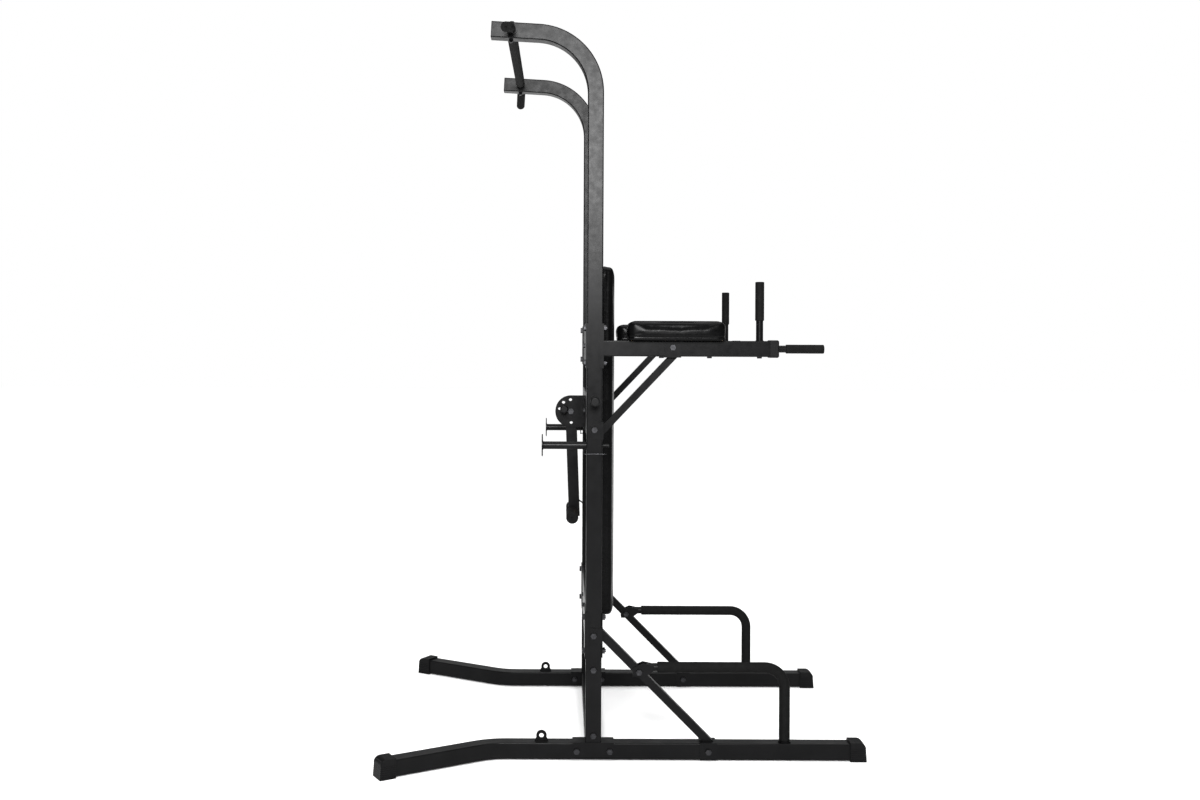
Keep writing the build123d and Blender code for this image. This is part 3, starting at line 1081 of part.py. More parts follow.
with BuildPart() as pad_screws:
    under_arm = [
        Plane(origin=(x, sign * SIDE_Y, DIP_Z - TUBE / 2), z_dir=(0, 0, -1))
        for sign in (-1, 1) for x in (*ARM_PAD_SCREWS, HANDLE_X)
    ]
    behind_beam = [
        Plane(origin=(POST_REAR, sign * PAD_SCREW_Y, z), z_dir=(-1, 0, 0))
        for sign in (-1, 1) for z in PAD_SCREW_Z
    ]
    for seats in (under_arm, behind_beam):
        with BuildSketch(*seats):
            Circle(PAD_SCREW_R)
        extrude(amount=-(TUBE + BOARD - PAD_SCREW_TIP))
        with BuildSketch(*seats):
            RegularPolygon(PAD_SCREW_FLATS / 2, 6, major_radius=False)
        extrude(amount=PAD_SCREW_HEAD)
finish(pad_screws, "pad_screws")
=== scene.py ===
import bisect
import json
import math

import bmesh
import bpy
from mathutils import Matrix, Vector, noise


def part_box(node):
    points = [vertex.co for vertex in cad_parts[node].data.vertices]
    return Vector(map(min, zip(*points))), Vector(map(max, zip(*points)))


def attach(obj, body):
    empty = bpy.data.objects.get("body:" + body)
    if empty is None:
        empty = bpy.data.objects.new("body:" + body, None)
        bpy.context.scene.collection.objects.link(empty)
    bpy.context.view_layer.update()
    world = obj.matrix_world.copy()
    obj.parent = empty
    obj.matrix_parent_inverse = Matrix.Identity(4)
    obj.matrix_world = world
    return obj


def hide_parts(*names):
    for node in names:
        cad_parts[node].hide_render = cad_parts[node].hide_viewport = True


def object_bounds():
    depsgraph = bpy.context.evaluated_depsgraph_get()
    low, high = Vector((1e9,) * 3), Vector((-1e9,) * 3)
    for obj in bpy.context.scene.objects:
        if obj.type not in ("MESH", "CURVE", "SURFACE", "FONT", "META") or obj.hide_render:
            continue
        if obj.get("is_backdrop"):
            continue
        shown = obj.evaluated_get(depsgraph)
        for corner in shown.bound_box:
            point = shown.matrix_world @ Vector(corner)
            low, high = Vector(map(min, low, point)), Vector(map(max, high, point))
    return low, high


# Looks of the power tower: metres, +X front, +Y the user's left, +Z up, the CAD model's own frame.
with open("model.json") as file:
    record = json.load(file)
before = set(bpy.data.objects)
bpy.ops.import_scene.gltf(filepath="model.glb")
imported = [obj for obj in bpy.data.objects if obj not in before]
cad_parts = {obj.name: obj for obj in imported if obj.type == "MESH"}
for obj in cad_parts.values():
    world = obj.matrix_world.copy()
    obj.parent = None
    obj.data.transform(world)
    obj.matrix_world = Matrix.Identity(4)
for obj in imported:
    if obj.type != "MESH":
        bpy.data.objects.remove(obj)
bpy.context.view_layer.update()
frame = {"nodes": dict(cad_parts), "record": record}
nodes = frame["nodes"]
slot_of = {part["node"]: part["material_slot"] for part in frame["record"]["subparts"]}

MM = 0.001
X, Y, Z = Vector((1, 0, 0)), Vector((0, 1, 0)), Vector((0, 0, 1))
SIDES = (("right", -1), ("left", 1))

# ------------------------------------------------------------------ sizes the frame doesn't give
SIDE_Y = 417.5 * MM      # middle plane of each side frame
PLATE = 3 * MM           # bracket and flange plate
BORE_FIT = 0.05 * MM     # play between a sleeve and its bar

BAR_R = 14 * MM          # pull-up bar
BAR_BEND_Y = 480 * MM
BAR_TIP_RUN = Vector((-8, 138, -35)) * MM    # from the bar's left bend to its tip
BAR_SLEEVE_R = 16.5 * MM
BAR_GRIP_R = 15.6 * MM
BAR_GRIP_START = 22 * MM
BAR_GRIP_CAP = 4 * MM

HANDLE_R = 11 * MM       # dip handles, upright handles and foot bar
GRIP_R = 14 * MM
GRIP_CAP = 4.4 * MM
FOOT_GRIP = (25 * MM, 150 * MM)
FOOT_GRIP_R = 20.5 * MM
FOOT_GRIP_CAP = 4 * MM
SWING_TUBE = 38 * MM

PUSH_R = 12.5 * MM       # push-up bars
PUSH_FOAM_R = 17 * MM
PUSH_BEND_R = 62 * MM
PUSH_FLANGE_TOP = 57.5 * MM

PEG_R, PEG_Z = 12 * MM, 988 * MM
BRACE_PLATE_X = -66.5 * MM           # front face of the braces' plates on the uprights
ARM_BRACE_EDGES = (1022.4 * MM, 1053.6 * MM)     # where a brace's edges meet its plate
ARM_BRACE_HALF = 11 * MM
BASE_BRACE_EDGES = (373.3 * MM, 408.7 * MM)
BASE_BRACE_HALF = 12.5 * MM


# ------------------------------------------------------------------ materials
class Finish:
    """A procedural material under construction: one Principled shader and helpers that feed it."""

    def __init__(self, name, colour, roughness, specular=0.5, metallic=0.0):
        self.material = bpy.data.materials.new(name)
        self.material.use_nodes = True
        self.tree = self.material.node_tree
        self.shader = self.tree.nodes["Principled BSDF"]
        self.shader.inputs["Base Color"].default_value = (*colour, 1)
        self.shader.inputs["Roughness"].default_value = roughness
        self.shader.inputs["Specular IOR Level"].default_value = specular
        self.shader.inputs["Metallic"].default_value = metallic
        self.coordinates = self.node("ShaderNodeTexCoord").outputs["Object"]
        self.normal = None

    def node(self, kind, **inputs):
        made = self.tree.nodes.new(kind)
        for key, value in inputs.items():
            made.inputs[key].default_value = value
        return made

    def link(self, start, end):
        self.tree.links.new(start, end)

    def stretched(self, scale):
        """Object coordinates stretched along the axes."""
        mapping = self.node("ShaderNodeMapping", Scale=scale)
        self.link(self.coordinates, mapping.inputs["Vector"])
        return mapping.outputs["Vector"]

    def noise(self, scale, detail=3.0, roughness=0.55, vector=None):
        made = self.node("ShaderNodeTexNoise", Scale=scale, Detail=detail, Roughness=roughness)
        self.link(vector or self.coordinates, made.inputs["Vector"])
        return made.outputs["Fac"]

    def spread(self, value, low, high, start=0.35, end=0.65):
        made = self.node("ShaderNodeMapRange")
        made.inputs["From Min"].default_value = start
        made.inputs["From Max"].default_value = end
        made.inputs["To Min"].default_value = low
        made.inputs["To Max"].default_value = high
        self.link(value, made.inputs["Value"])
        return made.outputs["Result"]

    def tint(self, value, *stops):
        """Base colour from a ramp of (position, colour) stops."""
        ramp = self.node("ShaderNodeValToRGB")
        elements = ramp.color_ramp.elements
        while len(elements) < len(stops):
            elements.new(0.5)
        for element, (position, colour) in zip(elements, stops):
            element.position = position
            element.color = (*colour, 1)
        self.link(value, ramp.inputs["Fac"])
        self.link(ramp.outputs["Color"], self.shader.inputs["Base Color"])

    def rough(self, value, low, high):
        self.link(self.spread(value, low, high), self.shader.inputs["Roughness"])

    def bump(self, height, strength, distance):
        made = self.node("ShaderNodeBump", Strength=strength, Distance=distance)
        self.link(height, made.inputs["Height"])
        if self.normal:
            self.link(self.normal, made.inputs["Normal"])
        self.normal = made.outputs["Normal"]
        self.link(self.normal, self.shader.inputs["Normal"])

    def cells(self, scale, feature="F1"):
        made = self.node("ShaderNodeTexVoronoi", Scale=scale)
        made.feature = feature
        self.link(self.coordinates, made.inputs["Vector"])
        return made.outputs["Distance"]


def grey(value, blue=1.06):
    return (value, value, value * blue)


def powder_coat():
    made = Finish("powder_coat_black", grey(0.005), 0.3, specular=0.13)
    clouds = made.noise(14, 4)
    made.tint(clouds, (0.3, grey(0.004)), (0.7, grey(0.0065)))
    made.rough(made.noise(45, 3), 0.28, 0.35)
    made.bump(made.noise(650, 2), 0.35, 0.00005)
    made.bump(made.noise(2600, 2), 0.3, 0.000012)
    return made.material


def moulded_plastic():
    made = Finish("moulded_plastic_black", grey(0.005), 0.46, specular=0.15)
    made.tint(made.noise(30, 3), (0.3, grey(0.004)), (0.7, grey(0.0065)))
    made.rough(made.noise(160, 2), 0.4, 0.52)
    made.bump(made.cells(1500), 0.4, 0.00008)
    return made.material


def foam_rubber():
    made = Finish("foam_rubber_black", grey(0.005, 1.0), 0.75, specular=0.16)
    made.tint(made.noise(60, 5), (0.3, grey(0.0035, 1.0)), (0.7, grey(0.007, 1.0)))
    made.rough(made.noise(420, 3), 0.68, 0.88)
    made.bump(made.noise(240, 4), 0.35, 0.0002)
    made.bump(made.cells(1250), 0.5, 0.00006)
    return made.material


def vinyl():
    made = Finish("vinyl_black", grey(0.003), 0.27, specular=0.1)
    made.tint(made.noise(18, 3), (0.3, grey(0.0022)), (0.7, grey(0.004)))
    made.rough(made.noise(60, 3), 0.22, 0.31)
    pebbles = made.cells(430, "SMOOTH_F1")
    made.bump(made.spread(pebbles, 1, 0, 0.0, 0.7), 0.45, 0.00007)
    made.bump(made.noise(38, 3), 0.35, 0.0005)
    return made.material


def black_zinc():
    made = Finish("black_zinc_steel", grey(0.045), 0.34, metallic=1.0)
    made.tint(made.noise(90, 4), (0.3, grey(0.035)), (0.7, grey(0.06)))
    made.rough(made.noise(500, 3, vector=made.stretched((1, 1, 9))), 0.26, 0.42)
    made.bump(made.noise(1400, 2), 0.25, 0.00005)
    return made.material


def plywood():
    made = Finish("plywood_sheet", (0.52, 0.38, 0.23), 0.62, specular=0.3)
    grain = made.noise(90, 6, 0.62, made.stretched((1, 1, 0.06)))
    made.tint(grain, (0.3, (0.33, 0.21, 0.11)), (0.5, (0.52, 0.37, 0.22)), (0.72, (0.66, 0.51, 0.33)))
    made.rough(grain, 0.55, 0.75)
    made.bump(grain, 0.4, 0.0004)
    return made.material


def bright_wire():
    made = Finish("staple_wire", grey(0.45), 0.3, metallic=1.0)
    made.rough(made.noise(900, 2), 0.25, 0.4)
    made.bump(made.noise(1800, 2), 0.2, 0.00003)
    return made.material


def studio_floor():
    made = Finish("studio_floor", (0.97, 0.97, 0.97), 0.8, specular=0.1)
    made.tint(made.noise(2.0, 2), (0.3, (0.965, 0.965, 0.965)), (0.7, (0.975, 0.975, 0.975)))
    made.bump(made.noise(90, 3), 0.1, 0.0004)
    return made.material


finishes = {
    "black_paint": powder_coat(),
    "plastic": moulded_plastic(),
    "foam": foam_rubber(),
    "vinyl": vinyl(),
    "dark_steel": black_zinc(),
    "plywood": plywood(),
}
staple_finish = bright_wire()
for name, node in nodes.items():
    if not node.material_slots:
        node.data.materials.append(None)
    for slot in node.material_slots:
        slot.material = finishes[slot_of[name]]


# ------------------------------------------------------------------ mesh helpers
def new_piece(name, bm, body, slot, smooth=True, finish=None):
    """Turns a bmesh into a piece with a finish, riding a body."""
    bmesh.ops.recalc_face_normals(bm, faces=bm.faces)
    mesh = bpy.data.meshes.new(name)
    bm.to_mesh(mesh)
    bm.free()
    return dress(bpy.data.objects.new(name, mesh), body, slot, smooth, finish)


def dress(piece, body, slot, smooth=True, finish=None):
    if piece.name not in bpy.context.scene.collection.objects:
        bpy.context.scene.collection.objects.link(piece)
    piece.data.materials.clear()
    piece.data.materials.append(finish or finishes[slot])
    for polygon in piece.data.polygons:
        polygon.use_smooth = smooth
    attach(piece, body)
    return piece


def across(direction):
    """Two unit vectors square to a direction."""
    helper = Vector((0, 0, 1)) if abs(direction.z) < 0.9 else Vector((1, 0, 0))
    first = direction.cross(helper).normalized()
    return first, direction.cross(first).normalized()


def add_rings(bm, rings, segments, closed=False):
    """Joins rings of (centre, first, second, radius); a radius of 0 is a single point."""
    loops = []
    for centre, first, second, radius in rings:
        if radius == 0:
            loops.append([bm.verts.new(centre)])
            continue
        loops.append([
            bm.verts.new(centre + radius * (math.cos(turn) * first + math.sin(turn) * second))
            for turn in (2 * math.pi * k / segments for k in range(segments))
        ])
    pairs = list(zip(loops, loops[1:]))
    if closed:
        pairs.append((loops[-1], loops[0]))
    for a, b in pairs:
        for k in range(segments):
            n = (k + 1) % segments
            if len(a) == 1:
                bm.faces.new((a[0], b[k], b[n]))
            elif len(b) == 1:
                bm.faces.new((a[k], a[n], b[0]))
            else:
                bm.faces.new((a[k], a[n], b[n], b[k]))


class Path:
    """A bar's centre line: straight runs with rounded corners, read by distance."""

    def __init__(self, corners, radius=0.0, step=0.004):
        points = [corners[0]]
        for before, corner, after in zip(corners, corners[1:], corners[2:]):
            into, out = (corner - before).normalized(), (after - corner).normalized()
            half_turn = into.angle(out) / 2
            cut = radius * math.tan(half_turn)
            centre = corner + (out - into).normalized() * (radius / math.cos(half_turn))
            start = corner - into * cut
            count = max(2, int(2 * half_turn * radius / step))
            axis = into.cross(out).normalized()
            points += [
                centre + Matrix.Rotation(2 * half_turn * k / count, 3, axis) @ (start - centre)
                for k in range(count + 1)
            ]
        points.append(corners[-1])
        self.points = points
        self.marks = [0.0]
        for a, b in zip(points, points[1:]):
            self.marks.append(self.marks[-1] + (b - a).length)
        self.length = self.marks[-1]
        self.plane = (corners[1] - corners[0]).cross(corners[-1] - corners[-2])

    def at(self, distance):
        distance = min(max(distance, 0.0), self.length)
        i = min(max(bisect.bisect_right(self.marks, distance) - 1, 0), len(self.points) - 2)
        run = self.points[i + 1] - self.points[i]
        share = (distance - self.marks[i]) / (self.marks[i + 1] - self.marks[i])
        return self.points[i] + run * share, run.normalized()

    def frame(self, distance):
        """Centre and the two directions square to the bar."""
        near = 0.002
        here = self.at(distance)[0]
        tangent = (self.at(distance + near)[0] - self.at(distance - near)[0]).normalized()
        if self.plane.length > 1e-9:
            first = self.plane.normalized()
            return here, first, tangent.cross(first).normalized()
        return here, *across(tangent)


LIP_STEPS = 4            # rings round a sleeve's lip
SKIN_STEP = 5 * MM       # between rings along its skin
BORE_STEP = 8 * MM       # and along a bent sleeve's bore
DISH = 0.7 * MM          # hollow in a closed end, and the vent in its middle
VENT_R, VENT_DEPTH = 1.6 * MM, 2.2 * MM


def add_sleeve(bm, path, radius, bore, lip, cap=0.0, seed=0, ripple=0.00018, segments=44):
    """A soft sleeve on a bar: rounded lips, uneven skin, open bore. cap is the end wall's thickness."""
    def ring(distance, r):
        return (*path.frame(distance), r)

    rings = [ring(0, bore), ring(0, radius - lip)]
    for k in range(1, LIP_STEPS + 1):
        a = math.pi / 2 * k / LIP_STEPS
        rings.append(ring(lip * (1 - math.cos(a)), radius - lip + lip * math.sin(a)))
    count = max(4, int((path.length - 2 * lip) / SKIN_STEP))
    for k in range(1, count):
        s = lip + (path.length - 2 * lip) * k / count
        swell = noise.noise(Vector((s * 38, seed * 3.1, 0))) * ripple
        ring_like = noise.noise(Vector((s * 190, seed * 7.7, 2))) * ripple * 0.5
        rings.append(ring(s, radius + swell + ring_like - ripple * 0.5))
    for k in range(LIP_STEPS + 1):
        a = math.pi / 2 * k / LIP_STEPS
        rings.append(ring(path.length - lip * (1 - math.sin(a)), radius - lip + lip * math.cos(a)))
    end, first, second = path.frame(path.length)
    outward = path.at(path.length)[1]
    if cap:
        face_r = radius - lip
        for depth, r in (
            (DISH * 0.3, face_r * 0.72), (DISH, face_r * 0.4), (DISH, VENT_R),
            (DISH + VENT_DEPTH, VENT_R * 0.85), (DISH + VENT_DEPTH, 0),
        ):
            rings.append((end - outward * depth, first, second, r))
        add_rings(bm, rings, segments)
        inside = end - outward * cap
        add_rings(bm, [(inside, first, second, 0), (inside, first, second, bore), ring(0, bore)], segments)
    else:
        rings.append(ring(path.length, bore))
        bore_steps = max(1, int(path.length / BORE_STEP)) if len(path.points) > 2 else 1
        rings += [ring(path.length * (bore_steps - k) / bore_steps, bore) for k in range(1, bore_steps)]
        add_rings(bm, rings, segments, closed=True)
    bmesh.ops.remove_doubles(bm, verts=bm.verts, dist=1e-6)


def foam_piece(name, node, sleeves, body="frame", **shape):
    """One piece for a node's soft sleeves, each given as a Path."""
    bm = bmesh.new()
    for seed, path in enumerate(sleeves):
        add_sleeve(bm, path, seed=seed + len(name), **shape)
    piece = new_piece(name, bm, body, slot_of[node])
    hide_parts(node)
    return piece


# ------------------------------------------------------------------ foam grips
def both_sides(start, end):
    """Straight paths from start to end, given as X and Z, one in each side frame."""
    return [
        Path([Vector((x, sign * SIDE_Y, z)) for x, z in (start, end)])
        for _, sign in SIDES
    ]


low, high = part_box("pull_up_sleeve")
bar_x, bar_z = (low.x + high.x) / 2, (low.z + high.z) / 2
foam_piece("pull_up_foam", "pull_up_sleeve",
           [Path([Vector((bar_x, low.y, bar_z)), Vector((bar_x, high.y, bar_z))])],
           radius=BAR_SLEEVE_R, bore=BAR_R + BORE_FIT, lip=1.6 * MM)

end_paths = []
for _, sign in SIDES:
    run = Vector((BAR_TIP_RUN.x, sign * BAR_TIP_RUN.y, BAR_TIP_RUN.z))
    outward = run.normalized()
    bend = Vector((bar_x, sign * BAR_BEND_Y, bar_z))
    end_paths.append(Path([bend + outward * BAR_GRIP_START, bend + run + outward * BAR_GRIP_CAP]))
foam_piece("pull_up_end_grip_rubber", "pull_up_end_grips", end_paths,
           radius=BAR_GRIP_R, bore=BAR_R + BORE_FIT, lip=1.45 * MM, cap=BAR_GRIP_CAP)

low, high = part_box("dip_grip_foams")
dip_z = (low.z + high.z) / 2
foam_piece("dip_grip_rubber", "dip_grip_foams", both_sides((low.x, dip_z), (high.x, dip_z)),
           radius=GRIP_R, bore=HANDLE_R + BORE_FIT, lip=2.6 * MM, cap=GRIP_CAP)

low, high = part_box("upright_grip_foams")
handle_x = (low.x + high.x) / 2
foam_piece("upright_grip_rubber", "upright_grip_foams", both_sides((handle_x, low.z), (handle_x, high.z)),
           radius=GRIP_R, bore=HANDLE_R + BORE_FIT, lip=2.6 * MM, cap=GRIP_CAP)

for side, sign in SIDES:
    low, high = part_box(f"push_up_foam_{side}")
    push_z, push_x = high.z - PUSH_FOAM_R, high.x - PUSH_FOAM_R
    turns = ((low.x, push_z), (push_x, push_z), (push_x, low.z))
    foam_path = Path([Vector((x, sign * SIDE_Y, z)) for x, z in turns], PUSH_BEND_R)
    foam_piece(f"push_up_foam_tube_{side}", f"push_up_foam_{side}", [foam_path],
               radius=PUSH_FOAM_R, bore=PUSH_R + BORE_FIT, lip=1.8 * MM, ripple=0.3 * MM)

low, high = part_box("swing_arm_grips")
foot_x, foot_z = (low.x + high.x) / 2, (low.z + high.z) / 2
roll_paths = [Path([Vector((foot_x, sign * y, foot_z)) for y in FOOT_GRIP]) for _, sign in SIDES]
foam_piece("swing_arm_foam_rolls", "swing_arm_grips", roll_paths, body="swing_arm",
           radius=FOOT_GRIP_R, bore=HANDLE_R + BORE_FIT, lip=3.4 * MM, cap=FOOT_GRIP_CAP)


# ------------------------------------------------------------------ vinyl pads
HELD_BELOW = 14 * MM     # the cloth is tied to the board up to here
CLOTH_FRAMES = 20
SEAM_LEVEL, SEAM_HALF, SEAM_DEPTH = 11 * MM, 3.2 * MM, 1.3 * MM
BOARD_PROUD = 1 * MM     # the back pad's board and hem stand this far behind the pad


def rounded_slab(width, length, height, corner, edge):
    """A slab with rounded plan corners and rounded top edges, centred on X and Y, from Z 0 up."""
    bm = bmesh.new()
    bmesh.ops.create_cube(bm, size=1)
    bmesh.ops.scale(bm, vec=(width, length, height), verts=bm.verts)
    bmesh.ops.translate(bm, vec=(0, 0, height / 2), verts=bm.verts)
    uprights = [e for e in bm.edges if abs(e.verts[0].co.z - e.verts[1].co.z) > height / 2]
    bmesh.ops.bevel(bm, geom=uprights, offset=corner, segments=8, affect="EDGES", profile=0.5)
    top = [e for e in bm.edges if min(v.co.z for v in e.verts) > height - 1e-5]
    top = [e for e in top if len(e.link_faces) == 2 and any(abs(f.normal.z) < 0.5 for f in e.link_faces)]
    bmesh.ops.bevel(bm, geom=top, offset=edge, segments=6, affect="EDGES", profile=0.5)
    return bm


def evaluated_mesh(piece):
    graph = bpy.context.evaluated_depsgraph_get()
    return bpy.data.meshes.new_from_object(piece.evaluated_get(graph))


def remeshed(piece, voxel):
    modifier = piece.modifiers.new("remesh", "REMESH")
    modifier.mode = "VOXEL"
    modifier.voxel_size = voxel
    mesh = evaluated_mesh(piece)
    piece.modifiers.clear()
    piece.data = mesh


def inflate(piece, held_below, pressure, cap):
    """Swells the slab as cloth over foam. Near the board it stays put, and no point moves past cap."""
    before = [v.co.copy() for v in piece.data.vertices]
    held = piece.vertex_groups.new(name="held")
    for v in piece.data.vertices:
        if v.co.z < held_below:
            held.add([v.index], 1.0, "REPLACE")
    modifier = piece.modifiers.new("cloth", "CLOTH")
    cloth = modifier.settings
    cloth.quality = 5
    cloth.mass = 0.35
    cloth.tension_stiffness = cloth.compression_stiffness = 18
    cloth.shear_stiffness = 6
    cloth.bending_stiffness = 0.6
    cloth.use_pressure = True
    cloth.uniform_pressure_force = pressure
    cloth.effector_weights.gravity = 0
    cloth.vertex_group_mass = "held"
    modifier.collision_settings.use_collision = False
    modifier.point_cache.frame_start = 1
    modifier.point_cache.frame_end = CLOTH_FRAMES
    scene = bpy.context.scene
    for number in range(1, CLOTH_FRAMES + 1):
        scene.frame_set(number)
        bpy.context.view_layer.update()
    mesh = evaluated_mesh(piece)
    piece.modifiers.clear()
    piece.vertex_groups.clear()
    piece.data = mesh
    scene.frame_set(1)
    for v, start in zip(mesh.vertices, before):
        move = v.co - start
        if move.length > cap:
            v.co = start + move.normalized() * cap


def smooth_points(mesh, rounds, factor=0.5):
    bm = bmesh.new()
    bm.from_mesh(mesh)
    for _ in range(rounds):
        bmesh.ops.smooth_vert(bm, verts=bm.verts, factor=factor,
                              use_axis_x=True, use_axis_y=True, use_axis_z=True)
    bm.to_mesh(mesh)
    bm.free()


def crown(piece, width, length, height, rise, waist):
    """Pulls the sides in between the corners and lifts the middle of the top before the cloth swells it."""
    for v in piece.data.vertices:
        u, w, t = v.co.x / (width / 2), v.co.y / (length / 2), v.co.z / height
        bow_x = math.cos(min(1, abs(w)) * math.pi / 2)
        bow_y = math.cos(min(1, abs(u)) * math.pi / 2)
        v.co.x -= waist * u * bow_x * (0.35 + 0.65 * t)
        v.co.y -= waist * w * bow_y * (0.35 + 0.65 * t)
        if t > 0.6:
            v.co.z += rise * bow_x ** 0.6 * bow_y ** 0.6


def groove(mesh, level, half, depth):
    """A sewn seam line round the pad at a level above its base."""
    for v in mesh.vertices:
        gap = abs(v.co.z - level)
        if gap < half and Vector((v.normal.x, v.normal.y)).length > 0.5:
            v.co -= v.normal * depth * (0.5 + 0.5 * math.cos(math.pi * gap / half))


def fit_to(mesh, size):
    """Scales the pad to the room its CAD solid holds, resting flat on its base."""
    for v in mesh.vertices:
        v.co.z = max(v.co.z, 0.0)
    for axis in range(3):
        values = [v.co[axis] for v in mesh.vertices]
        low, high = min(values), max(values)
        start = 0.0 if axis == 2 else -size[axis] / 2
        for v in mesh.vertices:
            v.co[axis] = start + (v.co[axis] - low) / (high - low) * size[axis]
    mesh.update()


def make_pad(name, node, low, high, placing, corner, edge, voxel, cap, pressure, rise, waist):
    """A vinyl pad from low to high. placing turns pad axes (width, length, up) to the frame's."""
    into_pad = placing.inverted()
    corners = [into_pad @ low, into_pad @ high]
    size = [abs(corners[1][i] - corners[0][i]) for i in range(3)]
    swell = cap * 0.72               # how far the cloth is expected to grow upwards, and 0.6 of it sideways
    width, length = size[0] - 2 * swell * 0.6, size[1] - 2 * swell * 0.6
    height = size[2] - swell - rise
    slab = rounded_slab(width, length, height, corner, edge)
    mesh = bpy.data.meshes.new(name)
    slab.to_mesh(mesh)
    slab.free()
    piece = bpy.data.objects.new(name, mesh)
    bpy.context.scene.collection.objects.link(piece)
    remeshed(piece, voxel)
    crown(piece, width, length, height, rise, waist)
    smooth_points(piece.data, 1)
    inflate(piece, HELD_BELOW, pressure, cap)
    smooth_points(piece.data, 1)
    divide = piece.modifiers.new("divide", "SUBSURF")
    divide.levels = divide.render_levels = 1
    finer = evaluated_mesh(piece)
    piece.modifiers.clear()
    piece.data = finer
    fit_to(piece.data, size)
    groove(piece.data, SEAM_LEVEL, SEAM_HALF, SEAM_DEPTH)
    piece.data.transform(placing)
    dress(piece, "frame", slot_of[node])
    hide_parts(node)
    return piece


def axes(origin, across_to, along_to, up_to):
    made = Matrix((across_to, along_to, up_to)).transposed().to_4x4()
    made.translation = origin
    return made


for side, _ in SIDES:
    low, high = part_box(f"arm_pad_{side}")
    base = Vector(((low.x + high.x) / 2, (low.y + high.y) / 2, low.z))
    make_pad(f"arm_pad_vinyl_{side}", f"arm_pad_{side}", low, high, axes(base, Y, -X, Z),
             corner=24 * MM, edge=11 * MM, voxel=4.2 * MM, cap=3 * MM, pressure=3, rise=0.5 * MM,
             waist=1.2 * MM)
low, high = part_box("back_pad")
back_low, back_high = low.copy(), high.copy()
low.x += BOARD_PROUD
base = Vector((low.x, (low.y + high.y) / 2, (low.z + high.z) / 2))
make_pad("back_pad_vinyl", "back_pad", low, high, axes(base, Y, Z, X),
         corner=24 * MM, edge=13 * MM, voxel=6 * MM, cap=4 * MM, pressure=4, rise=2.5 * MM,
         waist=1.6 * MM)


# ------------------------------------------------------------------ hem and staples behind the back pad
HEM_OUT = 4 * MM         # hem's fold inside the pad's outline
HEM_BEND_R = 32 * MM
HEM_WIDTH, HEM_THICK = 28 * MM, 1.1 * MM
HEM_STEP = 6 * MM
HEM_WAVE, HEM_RUCK = 2.5 * MM, 0.35 * MM
STAPLE_PITCH, STAPLE_INSET, STAPLE_LIFT = 38 * MM, 15 * MM, 0.45 * MM
STAPLE_HALF, STAPLE_R = 5 * MM, 0.55 * MM
BEAM_CLEARANCE = 8 * MM


def hem_outline():
    x = back_low.x + 0.1 * MM
    y, bottom, top = back_high.y - HEM_OUT, back_low.z + HEM_OUT, back_high.z - HEM_OUT
    turns = ((0, bottom), (y, bottom), (y, top), (-y, top), (-y, bottom), (0, bottom))
    return Path([Vector((x, *turn)) for turn in turns], radius=HEM_BEND_R)


def add_hem(path):
    """The vinyl folded round the board: a thin band with a wavy inner edge and rucks."""
    bm = bmesh.new()
    count = int(path.length / HEM_STEP)
    loops = []
    for k in range(count):
        point, tangent = path.at(path.length * k / count)
        thick = HEM_THICK + HEM_RUCK * noise.noise(Vector((k * 0.8, 9, 3)))
        width = HEM_WIDTH + HEM_WAVE * noise.noise(Vector((k * 0.35, 4, 1)))
        far = point + X.cross(tangent) * width
        section = (point, point - X * thick, far - X * thick * 0.9, far)
        loops.append([bm.verts.new(v) for v in section])
    for k in range(count):
        a, b = loops[k], loops[(k + 1) % count]
        for i in range(4):
            j = (i + 1) % 4
            bm.faces.new((a[i], a[j], b[j], b[i]))
    new_piece("back_pad_hem", bm, "frame", "vinyl", smooth=False)


def add_staples(path):
    """Staples along the hem, except under the crossbeams."""
    beams = [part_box(f"crossbeam_{level}") for level in ("bottom", "middle", "top")]
    bm = bmesh.new()
    for k in range(int(path.length / STAPLE_PITCH)):
        point, tangent = path.at(STAPLE_PITCH * (k + 0.5))
        if any(low.z - BEAM_CLEARANCE < point.z < high.z + BEAM_CLEARANCE for low, high in beams):
            continue
        middle = point + X.cross(tangent) * STAPLE_INSET - X * (HEM_THICK + STAPLE_LIFT)
        first, second = across(tangent)
        ends = [(middle + tangent * STAPLE_HALF * end, first, second) for end in (-1, 1)]
        add_rings(bm, [(*ends[0], 0), (*ends[0], STAPLE_R), (*ends[1], STAPLE_R), (*ends[1], 0)], 8)
    new_piece("back_pad_staples", bm, "frame", "dark_steel", finish=staple_finish)


hem_path = hem_outline()
add_hem(hem_path)
add_staples(hem_path)

# ------------------------------------------------------------------ weld beads
BEAD_R, BEAD_STEP = 1.7 * MM, 1.1 * MM
BEAD_OUT = 0.4 * MM      # bead's centre line outside the bar's skin


def add_bead(bm, points, closed, seed=0):
    """A rippled weld bead along a line of points."""
    rings = []
    for k, point in enumerate(points):
        before = points[k - 1] if closed or k else point
        after = points[(k + 1) % len(points)] if closed or k < len(points) - 1 else point
        ripple = 1 + 0.2 * abs(math.sin(k * 0.9)) + 0.15 * noise.noise(Vector((k * 0.6, seed, 0)))
        rings.append((point, *across((after - before).normalized()), BEAD_R * ripple))
    if not closed:
        rings = [(*rings[0][:3], 0)] + rings[1:-1] + [(*rings[-1][:3], 0)]
    add_rings(bm, rings, 8, closed=closed)


def ring_points(centre, axis, radius):
    first, second = across(axis)
    count = max(24, int(2 * math.pi * radius / BEAD_STEP))
    return [
        centre + radius * (math.cos(turn) * first + math.sin(turn) * second)
        for turn in (2 * math.pi * k / count for k in range(count))
    ]


def line_points(start, end):
    count = max(4, int((end - start).length / BEAD_STEP))
    return [start.lerp(end, k / count) for k in range(count + 1)]


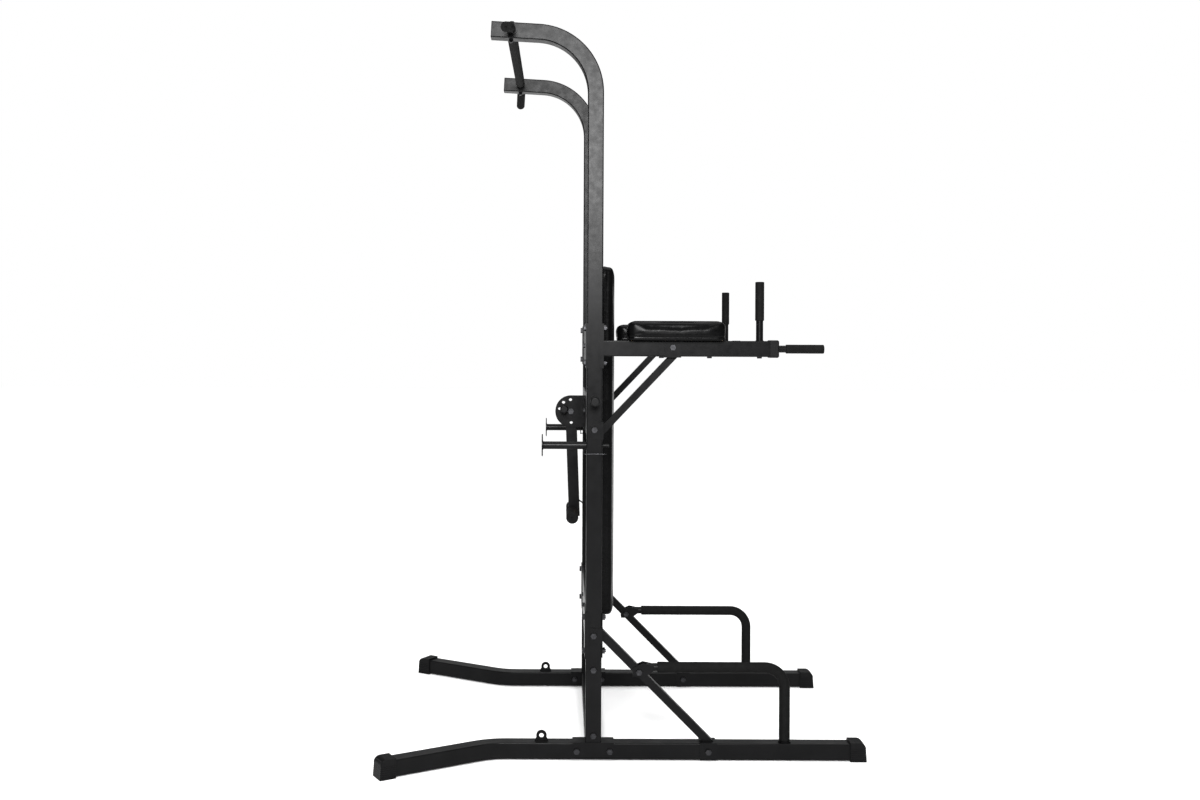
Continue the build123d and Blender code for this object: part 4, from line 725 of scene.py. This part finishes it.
def weld_piece(name, body, rings, lines=()):
    bm = bmesh.new()
    for seed, (centre, axis, radius) in enumerate(rings):
        add_bead(bm, ring_points(centre, axis, radius), True, seed)
    for seed, (start, end) in enumerate(lines):
        add_bead(bm, line_points(start, end), False, seed + len(rings))
    return new_piece(name, bm, body, "black_paint")


handle_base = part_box("upright_handles")[0].z
frame_rings, frame_lines = [], []
for _, sign in SIDES:
    frame_rings.append((Vector((handle_x, sign * SIDE_Y, handle_base)), Z, HANDLE_R + BEAD_OUT))
for side, sign in SIDES:
    push_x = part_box(f"push_up_foam_{side}")[1].x - PUSH_FOAM_R
    frame_rings.append((Vector((push_x, sign * SIDE_Y, PUSH_FLANGE_TOP)), Z, PUSH_R + BEAD_OUT))
    for edges, half in ((ARM_BRACE_EDGES, ARM_BRACE_HALF), (BASE_BRACE_EDGES, BASE_BRACE_HALF)):
        for z in edges:
            y = sign * SIDE_Y
            frame_lines.append((Vector((BRACE_PLATE_X, y - half, z)), Vector((BRACE_PLATE_X, y + half, z))))
weld_piece("frame_welds", "frame", frame_rings, frame_lines)
for side, sign in SIDES:
    disc_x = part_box(f"rack_peg_{side}")[0].x + PLATE
    disc_middle = Vector((disc_x, sign * SIDE_Y, PEG_Z))
    weld_piece(f"peg_weld_{side}", f"{side}_peg", [(disc_middle, X, PEG_R + BEAD_OUT)])
weld_piece("foot_bar_welds", "swing_arm", [
    (Vector((foot_x, sign * SWING_TUBE / 2, foot_z)), Y, HANDLE_R + BEAD_OUT) for _, sign in SIDES
])

# ------------------------------------------------------------------ floor, light and camera
FLOOR = 30.0             # half size of the floor
ROOM_SEEN, ROOM_LIGHT = 1.0, 0.12
CEILING_ENERGY, CEILING_SPREAD = 3.05, 75

floor_mesh = bpy.data.meshes.new("floor")
floor_mesh.from_pydata([(-FLOOR, -FLOOR, 0), (FLOOR, -FLOOR, 0), (FLOOR, FLOOR, 0), (-FLOOR, FLOOR, 0)],
                       [], [(0, 1, 2, 3)])
floor = bpy.data.objects.new("floor", floor_mesh)
bpy.context.scene.collection.objects.link(floor)
floor_mesh.materials.append(studio_floor())
floor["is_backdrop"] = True

# The room is seen as plain white, and lights the object more dimly than it looks, as a dark studio does.
world = bpy.data.worlds.new("studio")
bpy.context.scene.world = world
world.use_nodes = True
sky = world.node_tree
seen = sky.nodes["Background"]
seen.inputs["Color"].default_value = (1, 1, 1, 1)
seen.inputs["Strength"].default_value = ROOM_SEEN
dim = sky.nodes.new("ShaderNodeBackground")
dim.inputs["Color"].default_value = (1, 1, 1, 1)
dim.inputs["Strength"].default_value = ROOM_LIGHT
choice = sky.nodes.new("ShaderNodeMixShader")
sky.links.new(sky.nodes.new("ShaderNodeLightPath").outputs["Is Camera Ray"], choice.inputs[0])
sky.links.new(dim.outputs[0], choice.inputs[1])
sky.links.new(seen.outputs[0], choice.inputs[2])
sky.links.new(choice.outputs[0], sky.nodes["World Output"].inputs["Surface"])


def softbox(name, place, target, width, height, power):
    """A rectangular lamp at place, turned to face target."""
    lamp = bpy.data.lights.new(name, "AREA")
    lamp.shape = "RECTANGLE"
    lamp.size, lamp.size_y = width, height
    lamp.energy = power
    box = bpy.data.objects.new(name, lamp)
    box.location = place
    box.rotation_euler = (Vector(target) - Vector(place)).to_track_quat("-Z", "Y").to_euler()
    box.visible_camera = False
    bpy.context.scene.collection.objects.link(box)


ceiling = bpy.data.lights.new("ceiling", "SUN")
ceiling.energy = CEILING_ENERGY
ceiling.angle = math.radians(CEILING_SPREAD)
lamp = bpy.data.objects.new("ceiling", ceiling)
bpy.context.scene.collection.objects.link(lamp)
softbox("high_front", (-0.3, -4.7, 2.65), (-0.2, 0, 2.0), 1.4, 1.5, 350)
softbox("behind", (0.4, 5.0, 2.1), (0.2, 0, 0.8), 5.0, 2.4, 20)

camera_data = bpy.data.cameras.new("camera")
camera_data.lens = 37.2
camera_data.sensor_width = 36
camera_data.shift_x = 0.029
camera_data.shift_y = -0.048
camera = bpy.data.objects.new("camera", camera_data)
camera.location = (-0.188, -4.336, 1.313)
camera.rotation_euler = (math.radians(90), math.radians(-0.26), 0)
bpy.context.scene.collection.objects.link(camera)
bpy.context.scene.camera = camera
bpy.context.scene.view_settings.view_transform = "Standard"
bpy.context.scene.view_settings.gamma = 0.86

low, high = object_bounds()
